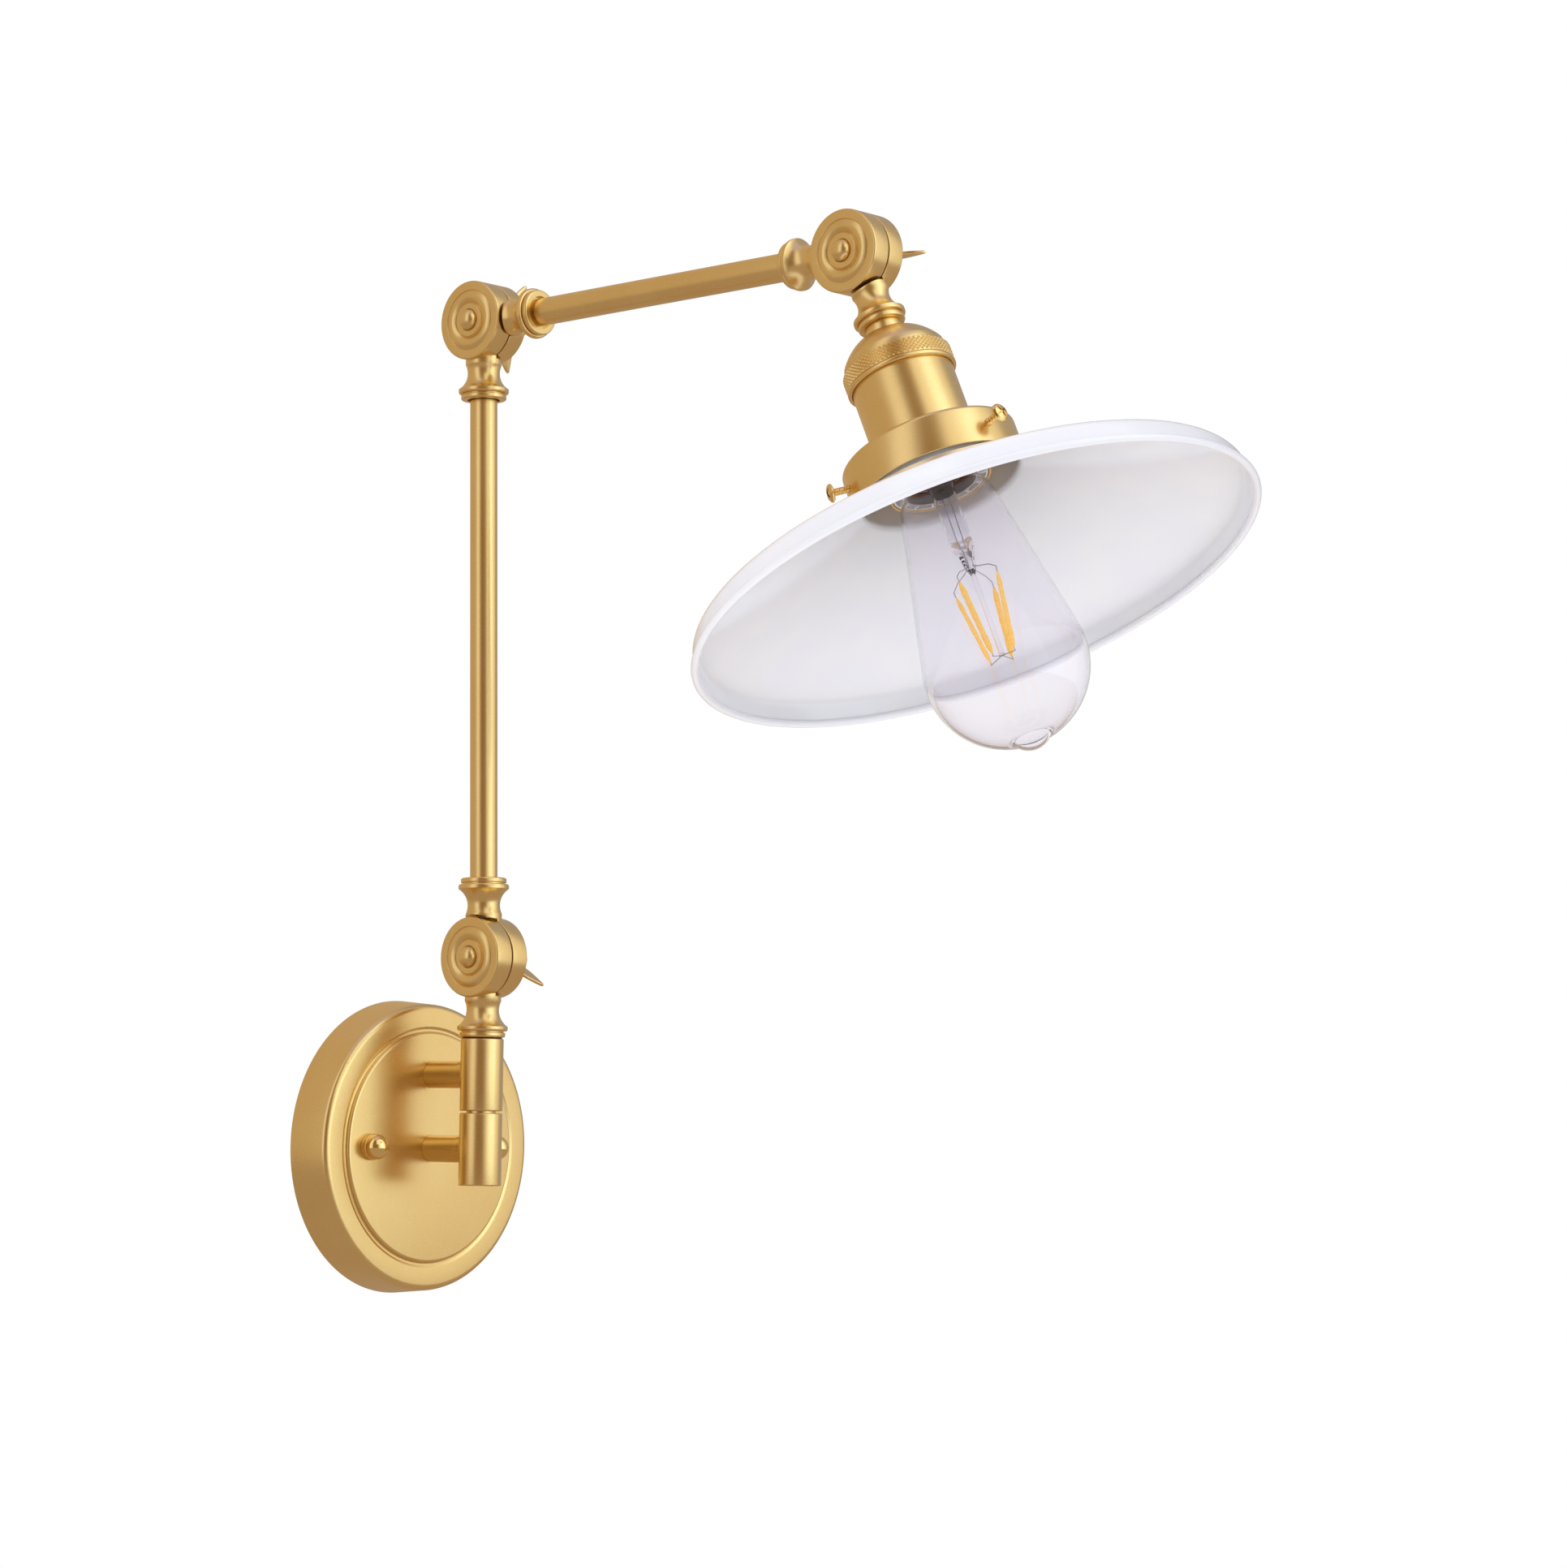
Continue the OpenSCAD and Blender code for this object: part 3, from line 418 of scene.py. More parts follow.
VITRITE = Moulded(Slot.VITRITE, (0.012, 0.012, 0.02), (0.02, 0.02, 0.03), 0.15, coat=0.6)
# The strips carry a painted glow: the bulb is unlit, yet they emit their yellow.
FILAMENT = Moulded(Slot.FILAMENT, (1.0, 0.56, 0.09), (1.0, 0.66, 0.16), 0.5, grain=1400.0,
                   depth=0.0001, glow=0.45)


# Drawing and turning


class Outline:
    """Half of a section through an axis, in millimetres, drawn corner by corner."""

    ROUND_STEPS = 5

    def __init__(self) -> None:
        """Starts with no corner."""
        self.corners: list[tuple[float, float, float]] = []

    def to(self, r: float, s: float, fillet: float = 0.0) -> "Outline":
        """Adds a corner at radius r and height s, rounded by fillet."""
        self.corners.append((r, s, fillet))
        return self

    def bow(self, centre: Point, radius: float, start: float, end: float,
            steps: int = 14) -> "Outline":
        """Adds an arc round centre, from the start angle to the end angle in degrees.

        Args:
            centre: the arc's centre.
            radius: its radius.
            start: its first angle.
            end: its last angle.
            steps: how many straight steps it takes.
        Returns:
            The outline itself.
        """
        for i in range(steps + 1):
            angle = math.radians(start + (end - start) * i / steps)
            self.to(centre[0] + radius * math.cos(angle), centre[1] + radius * math.sin(angle))
        return self

    def points(self, closed: bool) -> list[Point]:
        """The outline with its corners rounded.

        Args:
            closed: whether the last corner joins the first.
        Returns:
            Radius and height of each point.
        """
        found: list[Point] = []
        count = len(self.corners)
        for i, (r, s, fillet) in enumerate(self.corners):
            inner = closed or 0 < i < count - 1
            if fillet <= 0 or not inner:
                found.append((r, s))
                continue
            here = Vector((r, s))
            back = Vector(self.corners[i - 1][:2]) - here
            ahead = Vector(self.corners[(i + 1) % count][:2]) - here
            if min(back.length, ahead.length) < 1e-6 or back.angle(ahead) > math.pi - 1e-3:
                found.append((r, s))
                continue
            half = back.angle(ahead) / 2
            reach = min(fillet / math.tan(half), back.length * 0.49, ahead.length * 0.49)
            radius = reach * math.tan(half)
            between = (back.normalized() + ahead.normalized()).normalized()
            centre = here + between * (radius / math.sin(half))
            first = here + back.normalized() * reach - centre
            last = here + ahead.normalized() * reach - centre
            sweep = math.atan2(first.x * last.y - first.y * last.x, first.dot(last))
            for k in range(self.ROUND_STEPS + 1):
                turn = sweep * k / self.ROUND_STEPS
                cos, sin = math.cos(turn), math.sin(turn)
                found.append((centre.x + first.x * cos - first.y * sin,
                              centre.y + first.x * sin + first.y * cos))
        return found


def filled(bm: bmesh.types.BMesh) -> bpy.types.Mesh:
    """Turns a bmesh into a mesh with its normals outwards.

    Args:
        bm: what was drawn. It is freed.
    Returns:
        The closed mesh.
    """
    bmesh.ops.recalc_face_normals(bm, faces=bm.faces)
    mesh = bpy.data.meshes.new("drawn")
    bm.to_mesh(mesh)
    bm.free()
    return mesh


def lathe(outline: Outline, segments: int = 96, closed: bool = True, inside_out: bool = False,
          swell: Callable[[float, float, float], float] | None = None) -> bpy.types.Mesh:
    """Turns an outline round the Z axis.

    Args:
        outline: the half section.
        segments: steps round the axis.
        closed: joins the last corner to the first, for a ring; otherwise the outline runs from
            axis to axis.
        inside_out: turns the faces inwards, for the wall of a hollow.
        swell: gives the radius at an angle, radius and height.
    Returns:
        The turned mesh, in millimetres.
    """
    bm = bmesh.new()
    rows = []
    for r, s in outline.points(closed):
        if r < 1e-6:
            rows.append([bm.verts.new((0, 0, s))])
            continue
        row = []
        for i in range(segments):
            angle = math.tau * i / segments
            reach = swell(angle, r, s) if swell else r
            row.append(bm.verts.new((reach * math.cos(angle), reach * math.sin(angle), s)))
        rows.append(row)
    pairs = list(zip(rows, rows[1:])) + ([(rows[-1], rows[0])] if closed else [])
    for low, high in pairs:
        for i in range(segments):
            j = (i + 1) % segments
            ring = [low[i % len(low)], low[j % len(low)], high[j % len(high)], high[i % len(high)]]
            corners = list(dict.fromkeys(ring))
            if len(corners) > 2:
                bm.faces.new(corners)
    mesh = filled(bm)
    if inside_out:
        mesh.flip_normals()
    return mesh


def ring(r0: float, r1: float, s0: float, s1: float, edge: float = 0.2,
         segments: int = 96) -> bpy.types.Mesh:
    """A plain washer or tube with rounded edges."""
    shape = Outline().to(r0, s0, edge).to(r1, s0, edge).to(r1, s1, edge).to(r0, s1, edge)
    return lathe(shape, segments)


def rod(radius: float, s0: float, s1: float, edge: float = 0.2,
        segments: int = 48) -> bpy.types.Mesh:
    """A solid round bar with rounded ends."""
    shape = Outline().to(0, s0).to(radius, s0, edge).to(radius, s1, edge).to(0, s1)
    return lathe(shape, segments, closed=False)


def moved(mesh: bpy.types.Mesh, *steps: Matrix) -> bpy.types.Mesh:
    """Applies transforms to a mesh, the first one given first.

    Args:
        mesh: the mesh to move.
        *steps: the transforms, in order.
    Returns:
        The same mesh.
    """
    for step in steps:
        mesh.transform(step)
    return mesh


def turn(angle: float, axis: str) -> Matrix:
    """A turn by degrees round a named axis."""
    return Matrix.Rotation(math.radians(angle), 4, axis)


def shift(x: float = 0, y: float = 0, z: float = 0) -> Matrix:
    """A move in millimetres."""
    return Matrix.Translation((x, y, z))


def together(*meshes: bpy.types.Mesh) -> bpy.types.Mesh:
    """Puts several meshes into one.

    Args:
        *meshes: the meshes to put into one.
    Returns:
        A new mesh.
    """
    bm = bmesh.new()
    for mesh in meshes:
        bm.from_mesh(mesh)
    joined = bpy.data.meshes.new("joined")
    bm.to_mesh(joined)
    bm.free()
    return joined


def settled(mesh: bpy.types.Mesh, dress: Callable[[bpy.types.Object], None]) -> bpy.types.Mesh:
    """Applies modifiers to a mesh.

    Args:
        mesh: the mesh to change.
        dress: adds the modifiers to the object that holds it.
    Returns:
        The plain mesh after them.
    """
    holder = bpy.data.objects.new("holder", mesh)
    bpy.context.scene.collection.objects.link(holder)
    dress(holder)
    graph = bpy.context.evaluated_depsgraph_get()
    made = bpy.data.meshes.new_from_object(holder.evaluated_get(graph))
    bpy.data.objects.remove(holder)
    return made


def worked(mesh: bpy.types.Mesh, operation: str, *tools: bpy.types.Mesh) -> bpy.types.Mesh:
    """Cuts with, or joins, other closed meshes, one after the other.

    Args:
        mesh: the mesh to change.
        operation: DIFFERENCE or UNION.
        *tools: closed meshes to cut with or to join.
    Returns:
        The changed mesh.
    """
    for tool in tools:
        helper = bpy.data.objects.new("tool", tool)
        bpy.context.scene.collection.objects.link(helper)

        def dress(holder: bpy.types.Object) -> None:
            """Adds one exact boolean.

            Args:
                holder: the object that holds the mesh.
            """
            change = holder.modifiers.new("work", "BOOLEAN")
            change.operation = operation
            change.solver = "EXACT"
            change.object = helper

        mesh = settled(mesh, dress)
        bpy.data.objects.remove(helper)
    return mesh


def softened(mesh: bpy.types.Mesh, width: float, limit: float = 40.0) -> bpy.types.Mesh:
    """Rounds every sharp edge by a width in millimetres.

    Args:
        mesh: the mesh to change.
        width: how wide the rounding is.
        limit: the least angle, in degrees, that counts as an edge.
    Returns:
        The rounded mesh.
    """

    def dress(holder: bpy.types.Object) -> None:
        """Adds the bevel.

        Args:
            holder: the object that holds the mesh.
        """
        bevel = holder.modifiers.new("soften", "BEVEL")
        bevel.width = width
        bevel.segments = 2
        bevel.limit_method = "ANGLE"
        bevel.angle_limit = math.radians(limit)

    return settled(mesh, dress)


@dataclass(frozen=True)
class Place:
    """Where a group of pieces is drawn: an origin and the axes that it uses."""

    origin: Vector
    forward: Vector
    side: Vector = field(default_factory=lambda: Vector((1, 0, 0)))

    def matrix(self) -> Matrix:
        """From millimetres in this place to metres in the frame.

        Returns:
            The transform.
        """
        z = self.forward.normalized()
        y = z.cross(self.side).normalized()
        x = y.cross(z)
        turned = Matrix((x, y, z)).transposed().to_4x4()
        return Matrix.Translation(self.origin) @ turned @ Matrix.Scale(MM, 4)


@dataclass
class Bench:
    """Takes finished meshes, sets them down in the frame and reports them."""

    frame: dict[str, Any]
    done: list[str] = field(default_factory=list)

    def body_of(self, node: str) -> str:
        """The body that a CAD node belongs to."""
        groups = self.frame["record"]["behaviour"]["bodies"]
        return next(body for body, nodes in groups.items() if node in nodes)

    def joint(self, name: str) -> dict[str, Any]:
        """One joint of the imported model."""
        return next(j for j in self.frame["joints"] if j["name"] == name)

    def pivot(self, name: str) -> Vector:
        """Where a joint turns, in metres."""
        return Vector(self.joint(name)["pos_m"])

    def set_down(self, node: str, mesh: bpy.types.Mesh, place: Place, finish: Finish,
                 replaces: bool = True, name: str = "") -> bpy.types.Object:
        """Makes a mesh a piece of the lamp.

        Args:
            node: the CAD node that it stands for, or rides with.
            mesh: the mesh, in millimetres in its place.
            place: where it goes.
            finish: its surface.
            replaces: whether the node is hidden.
            name: the piece's name, if it isn't the node's.
        Returns:
            The new object.
        """
        mesh = mesh.copy()
        mesh.transform(place.matrix())
        mesh.materials.clear()
        mesh.materials.append(finish.material())
        mesh.shade_smooth()
        mesh.set_sharp_from_angle(angle=SHARP_ANGLE)
        piece = bpy.data.objects.new(name or node + ".finished", mesh)
        bpy.context.scene.collection.objects.link(piece)
        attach(piece, self.body_of(node))
        if replaces:
            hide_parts(node)
        self.done.append(piece.name)
        LOG.info("%s: %d faces", piece.name, len(mesh.polygons))
        return piece

    def refine(self, node: str, finish: Finish, edge: float) -> bpy.types.Object:
        """Stands a welded copy of a CAD node, with its edges rounded, in for the node.

        Args:
            node: the CAD node.
            finish: its surface.
            edge: how wide its edges are rounded.
        Returns:
            The new object.
        """
        bm = bmesh.new()
        bm.from_mesh(self.frame["nodes"][node].data)
        bmesh.ops.remove_doubles(bm, verts=bm.verts, dist=WELD * MM)
        bmesh.ops.dissolve_limit(bm, angle_limit=FLAT_ANGLE, verts=bm.verts, edges=bm.edges)
        mesh = bpy.data.meshes.new("copy")
        bm.to_mesh(mesh)
        bm.free()
        mesh.transform(Matrix.Scale(1 / MM, 4))
        whole = Place(Vector((0, 0, 0)), Vector((0, 0, 1)))
        return self.set_down(node, softened(mesh, edge), whole, finish)


# Patterns made with Geometry Nodes


class Pattern(Wiring):
    """A Geometry Nodes tree with named inputs, ready to be run on a mesh."""

    def __init__(self, name: str) -> None:
        """Starts the tree.

        Args:
            name: the tree's name.
        """
        super().__init__(bpy.data.node_groups.new(name, "GeometryNodeTree"))
        self.name = name
        self.sockets: dict[str, str] = {}
        self.source = self.tree.nodes.new("NodeGroupInput")
        self.result = self.tree.nodes.new("NodeGroupOutput")
        self.tree.interface.new_socket("Geometry", in_out="OUTPUT", socket_type="NodeSocketGeometry")
        self.takes("Geometry", "Geometry")

    def takes(self, name: str, kind: str) -> None:
        """Adds a named input."""
        made = self.tree.interface.new_socket(name, in_out="INPUT", socket_type="NodeSocket" + kind)
        self.sockets[name] = made.identifier

    def given(self, name: str) -> bpy.types.NodeSocket:
        """The value of a named input."""
        return self.source.outputs[name]

    def ends(self, geometry: bpy.types.NodeSocket) -> None:
        """Realizes the geometry, gives it its material and outputs it.

        Args:
            geometry: what the tree has made.
        """
        self.takes("Material", "Material")
        solid = self.add("GeometryNodeRealizeInstances", None, {0: geometry})
        coat = self.add("GeometryNodeSetMaterial", None,
                        {"Geometry": solid.outputs[0], "Material": self.given("Material")})
        self.tree.links.new(coat.outputs[0], self.result.inputs[0])

    def run(self, mesh: bpy.types.Mesh, finish: Finish, **values: Any) -> bpy.types.Mesh:
        """Runs the tree on a mesh.

        Args:
            mesh: what the tree starts from.
            finish: the surface it is given.
            **values: the named inputs, with _ for a blank.
        Returns:
            The plain mesh that it makes.
        """

        def dress(holder: bpy.types.Object) -> None:
            """Adds the tree and its inputs by identifier.

            Args:
                holder: the object that holds the mesh.
            """
            change = holder.modifiers.new(self.name, "NODES")
            change.node_group = self.tree
            change[self.sockets["Material"]] = finish.material()
            for key, value in values.items():
                change[self.sockets[key.replace("_", " ")]] = value

        return settled(mesh, dress)


def turned_copies() -> Pattern:
    """Copies of a mesh round the Z axis, in rows along it, each row turned by part of a step.

    Returns:
        The finished pattern.
    """
    tree = Pattern("turned_copies")
    for name, kind in (("Count", "Int"), ("Rows", "Int"), ("Row Pitch", "Float"), ("Stagger", "Float")):
        tree.takes(name, kind)
    count, rows = tree.given("Count"), tree.given("Rows")
    index = tree.add("GeometryNodeInputIndex").outputs[0]
    row = tree.maths("FLOOR", tree.maths("DIVIDE", index, count))
    column = tree.maths("MODULO", index, count)
    step = tree.maths("DIVIDE", math.tau, count)
    place = tree.maths("ADD", column, tree.maths("MULTIPLY", row, tree.given("Stagger")))
    height = tree.add("ShaderNodeCombineXYZ", None,
                      {2: tree.maths("MULTIPLY", row, tree.given("Row Pitch"))})
    angle = tree.add("ShaderNodeCombineXYZ", None, {2: tree.maths("MULTIPLY", place, step)})
    points = tree.add("GeometryNodePoints", None, {
        "Count": tree.maths("MULTIPLY", count, rows), "Position": height.outputs[0]})
    copies = tree.add("GeometryNodeInstanceOnPoints", None, {
        "Points": points.outputs[0], "Instance": tree.given("Geometry"),
        "Rotation": angle.outputs[0]})
    tree.ends(copies.outputs[0])
    return tree


def wound_thread() -> Pattern:
    """A round ridge wound along the Z axis.

    Returns:
        The finished pattern.
    """
    tree = Pattern("wound_thread")
    for name in ("Radius", "Pitch", "Turns", "Ridge"):
        tree.takes(name, "Float")
    spiral = tree.add("GeometryNodeCurveSpiral", None, {
        "Resolution": 40, "Rotations": tree.given("Turns"), "Start Radius": tree.given("Radius"),
        "End Radius": tree.given("Radius"),
        "Height": tree.maths("MULTIPLY", tree.given("Pitch"), tree.given("Turns"))})
    section = tree.add("GeometryNodeCurvePrimitiveCircle", None,
                       {"Resolution": 8, "Radius": tree.given("Ridge")})
    sweep = tree.add("GeometryNodeCurveToMesh", None, {
        "Curve": spiral.outputs[0], "Profile Curve": section.outputs[0], "Fill Caps": True})
    tree.ends(sweep.outputs[0])
    return tree


@dataclass
class Patterns:
    """The patterns that the lamp's sub-assemblies share."""

    copies: Pattern = field(default_factory=turned_copies)
    thread: Pattern = field(default_factory=wound_thread)

    def round_axis(self, mesh: bpy.types.Mesh, finish: Finish, count: int, rows: int = 1,
                   pitch: float = 0.0, stagger: float = 0.5) -> bpy.types.Mesh:
        """Repeats a mesh round the Z axis."""
        return self.copies.run(mesh, finish, Count=count, Rows=rows, Row_Pitch=pitch, Stagger=stagger)

    def ridge(self, finish: Finish, radius: float, pitch: float, start: float, end: float,
              ridge: float) -> bpy.types.Mesh:
        """Winds a thread between two heights.

        Args:
            finish: its surface.
            radius: the radius of its middle line.
            pitch: the height of one turn.
            start: where it starts.
            end: where it ends.
            ridge: the radius of its section.
        Returns:
            The mesh, in millimetres.
        """
        blank = bpy.data.meshes.new("blank")
        made = self.thread.run(blank, finish, Radius=radius, Pitch=pitch, Ridge=ridge,
                               Turns=(end - start) / pitch)
        return moved(made, shift(z=start))


def diamond(radius: float, width: float, height: float, rise: float) -> bpy.types.Mesh:
    """One low four-sided stud of a knurl, standing on a cylinder of that radius.

    Args:
        radius: the cylinder that it stands on.
        width: its size round the cylinder.
        height: its size along the cylinder.
        rise: how far its top stands out.
    Returns:
        The mesh, in millimetres.
    """
    bm = bmesh.new()
    sink = 0.15
    feet = [bm.verts.new((radius - sink, y, z)) for y, z in (
        (width / 2, 0), (0, height / 2), (-width / 2, 0), (0, -height / 2))]
    tops = [bm.verts.new((radius + rise, y * 0.16, z * 0.16)) for y, z in (
        (width / 2, 0), (0, height / 2), (-width / 2, 0), (0, -height / 2))]
    bm.faces.new(tops)
    bm.faces.new(feet)
    for i in range(4):
        j = (i + 1) % 4
        bm.faces.new((feet[i], feet[j], tops[j], tops[i]))
    return filled(bm)


def block(x: Point, y: Point, z: Point) -> bpy.types.Mesh:
    """A box between limits, for cutting and for small bars.

    Args:
        x: its limits along X.
        y: its limits along Y.
        z: its limits along Z.
    Returns:
        The mesh, in millimetres.
    """
    bm = bmesh.new()
    bmesh.ops.create_cube(bm, size=1.0)
    size = Vector((x[1] - x[0], y[1] - y[0], z[1] - z[0]))
    middle = Vector((x[1] + x[0], y[1] + y[0], z[1] + z[0])) / 2
    bm.transform(Matrix.Translation(middle) @ Matrix.Diagonal((*size, 1)))
    return filled(bm)


def skinned(bm: bmesh.types.BMesh, rows: list[list[bmesh.types.BMVert]]) -> bpy.types.Mesh:
    """Skins rows of corners into one closed bar.

    Args:
        bm: the mesh that holds the corners.
        rows: the corners of each section, all of one length.
    Returns:
        The bar, capped at both ends.
    """
    for low, high in zip(rows, rows[1:]):
        for k in range(len(low)):
            j = (k + 1) % len(low)
            bm.faces.new((low[k], low[j], high[j], high[k]))
    bm.faces.new(rows[0])
    bm.faces.new(rows[-1])
    return filled(bm)


def along_corners(corners: Sequence[Point], share: float) -> Vector:
    """A point on the smooth line through corners.

    Args:
        corners: the points that the line passes.
        share: how far along, from 0 to 1.
    Returns:
        The point.
    """
    spot = min(share * (len(corners) - 1), len(corners) - 1.001)
    i = int(spot)
    t = spot - i
    p0, p1, p2, p3 = (Vector(corners[min(max(i + k, 0), len(corners) - 1)]) for k in (-1, 0, 1, 2))
    return 0.5 * (2 * p1 + (p2 - p0) * t + (2 * p0 - 5 * p1 + 4 * p2 - p3) * t**2
                  + (3 * p1 - p0 - 3 * p2 + p3) * t**3)


def wire(points: Sequence[Vector], radius: float, sides: int = 8) -> bpy.types.Mesh:
    """A thin wire through points.

    Args:
        points: what it passes through.
        radius: half its thickness.
        sides: the corners of its section.
    Returns:
        The mesh, in millimetres.
    """
    bm = bmesh.new()
    rows = []
    for i, point in enumerate(points):
        ahead = points[min(i + 1, len(points) - 1)] - points[max(i - 1, 0)]
        z = ahead.normalized()
        x = z.orthogonal().normalized() if i == 0 else (x - z * x.dot(z)).normalized()
        y = z.cross(x)
        rows.append([bm.verts.new(point + (x * math.cos(a) + y * math.sin(a)) * radius)
                     for a in (math.tau * k / sides for k in range(sides))])
    return skinned(bm, rows)


# Sub-assemblies


@dataclass
class WallPlate:
    """The canopy with its bracket, studs and cap nuts."""

    bench: Bench
    patterns: Patterns
    radius: float = 60.0
    depth: float = 18.8
    wall: float = 1.0
    draft: float = 1.6
    edge: float = 2.6
    plateau: float = 47.0
    plateau_rise: float = 1.4
    moat_depth: float = 0.45
    moat_w: float = 2.3
    stud_reach: float = 35.0
    stud_r: float = 2.0
    post_heights: Point = (-0.5, 29.7)
    thread_r: float = 4.5
    cap_r: float = 5.4
    cap_foot: float = 2.6
    cap_groove: float = 0.5
    cap_straight: float = 0.4
    cap_bore: float = 5.0
    dome_r: float = 5.1

    def build(self) -> None:
        """Makes the wall side of the lamp."""
        place = Place(Vector((0, 0, 0)), Vector((0, -1, 0)))
        self.bench.set_down("canopy_cover", self.cover(), place, SATIN_GOLD)
        self.bench.refine("mounting_bracket", ZINC, 0.25)
        self.bench.refine("stud_nuts", ZINC, 0.2)
        self.bench.set_down("canopy_studs", self.studs(), place, STEEL)
        self.bench.set_down("ground_screw", self.ground_screw(), place, GREEN)
        for node, side in (("cap_nut_left", -1), ("cap_nut_right", 1)):
            nut = moved(self.cap_nut(), shift(side * self.stud_reach, 0, self.depth + self.plateau_rise))
            self.bench.set_down(node, nut, place, POLISHED_GOLD)

    def skin(self, inset: float) -> list[tuple[float, float, float]]:
        """The canopy's section, from the wall to the axis, set in from the outside.

        Args:
            inset: how far inside the outer face.
        Returns:
            Radius, height and fillet of each corner.
        """
        front = self.depth - inset
        step = self.plateau - inset
        line = [(self.radius - inset, 0.0, 0.0),
                (self.radius - self.draft - inset, front, self.edge - inset)]
        if inset:
            line.append((step + 0.35, front, 0.35))
        else:
            moat = front - self.moat_depth
            line += [(step + self.moat_w, front, 0.5), (step + 1.3, moat, 0.7), (step + 0.15, moat, 0.5)]
        return line + [(step - 0.15, front + self.plateau_rise, max(1.1 - inset, 0.3)),
                       (0.0, front + self.plateau_rise, 0.0)]

    def cover(self) -> bpy.types.Mesh:
        """The pressed cover, with holes for the studs and posts.

        Returns:
            The mesh, in millimetres.
        """
        outline = Outline()
        for r, s, fillet in self.skin(0.0) + self.skin(self.wall)[::-1]:
            outline.to(r, s, fillet)
        shell = lathe(outline, 256)
        holes = []
        for x in (-self.stud_reach, self.stud_reach):
            holes.append(moved(rod(self.stud_r + 0.1, 10, 30), shift(x)))
        for y in self.post_heights:
            holes.append(moved(rod(self.thread_r + 0.1, 10, 30), shift(0, y)))
        return worked(shell, "DIFFERENCE", *holes)

    def studs(self) -> bpy.types.Mesh:
        """Two threaded studs.

        Returns:
            The mesh, in millimetres.
        """
        top = self.depth + self.plateau_rise + self.cap_bore - 0.6
        core = rod(self.stud_r - 0.25, 0.2, top, 0.3, 32)
        thread = self.patterns.ridge(STEEL, self.stud_r - 0.22, 0.7, 0.8, top - 0.6, 0.21)
        stud = together(core, thread)
        return together(*(moved(stud.copy(), shift(x)) for x in (-self.stud_reach, self.stud_reach)))

    def ground_screw(self) -> bpy.types.Mesh:
        """A round-headed screw with a cross slot in the crossbar.

        Returns:
            The mesh, in millimetres.
        """
        head = Outline().to(0, 0.2).to(1.75, 0.2).to(1.75, 2.0).to(3.3, 2.0, 0.15)
        head.to(3.1, 3.0, 0.4).to(1.8, 4.1, 0.8).to(0, 4.4)
        screw = lathe(head, 48, closed=False)
        slots = [moved(block((-4, 4), (-0.4, 0.4), (3.3, 6)), turn(a, "Z")) for a in (20, 110)]
        return moved(worked(screw, "DIFFERENCE", *slots), shift(0, -8.4))

    def cap_nut(self) -> bpy.types.Mesh:
        """A cap nut: finely ribbed foot, groove and ball.

        Returns:
            The mesh, in millimetres.
        """
        foot, ball = self.cap_foot, self.dome_r
        start = foot + self.cap_groove
        middle = start + self.cap_straight
        shape = Outline().to(self.stud_r, 0.0).to(self.cap_r - 0.12, 0.0, 0.3)
        shape.to(self.cap_r - 0.12, foot, 0.45).to(ball - 0.6, foot, 0.1)
        shape.to(ball - 0.6, start, 0.1).to(ball, start, 0.15).to(ball, middle)
        shape.bow((0, middle), ball, 0, 88, 22).to(0, middle + ball)
        shape.to(0, self.cap_bore).to(self.stud_r, self.cap_bore - 0.4)
        nut = lathe(shape, 96)
        rib = moved(rod(0.16, 0.55, foot - 0.55, 0.1, 8), shift(self.cap_r - 0.16))
        return together(nut, self.patterns.round_axis(rib, POLISHED_GOLD, 54))


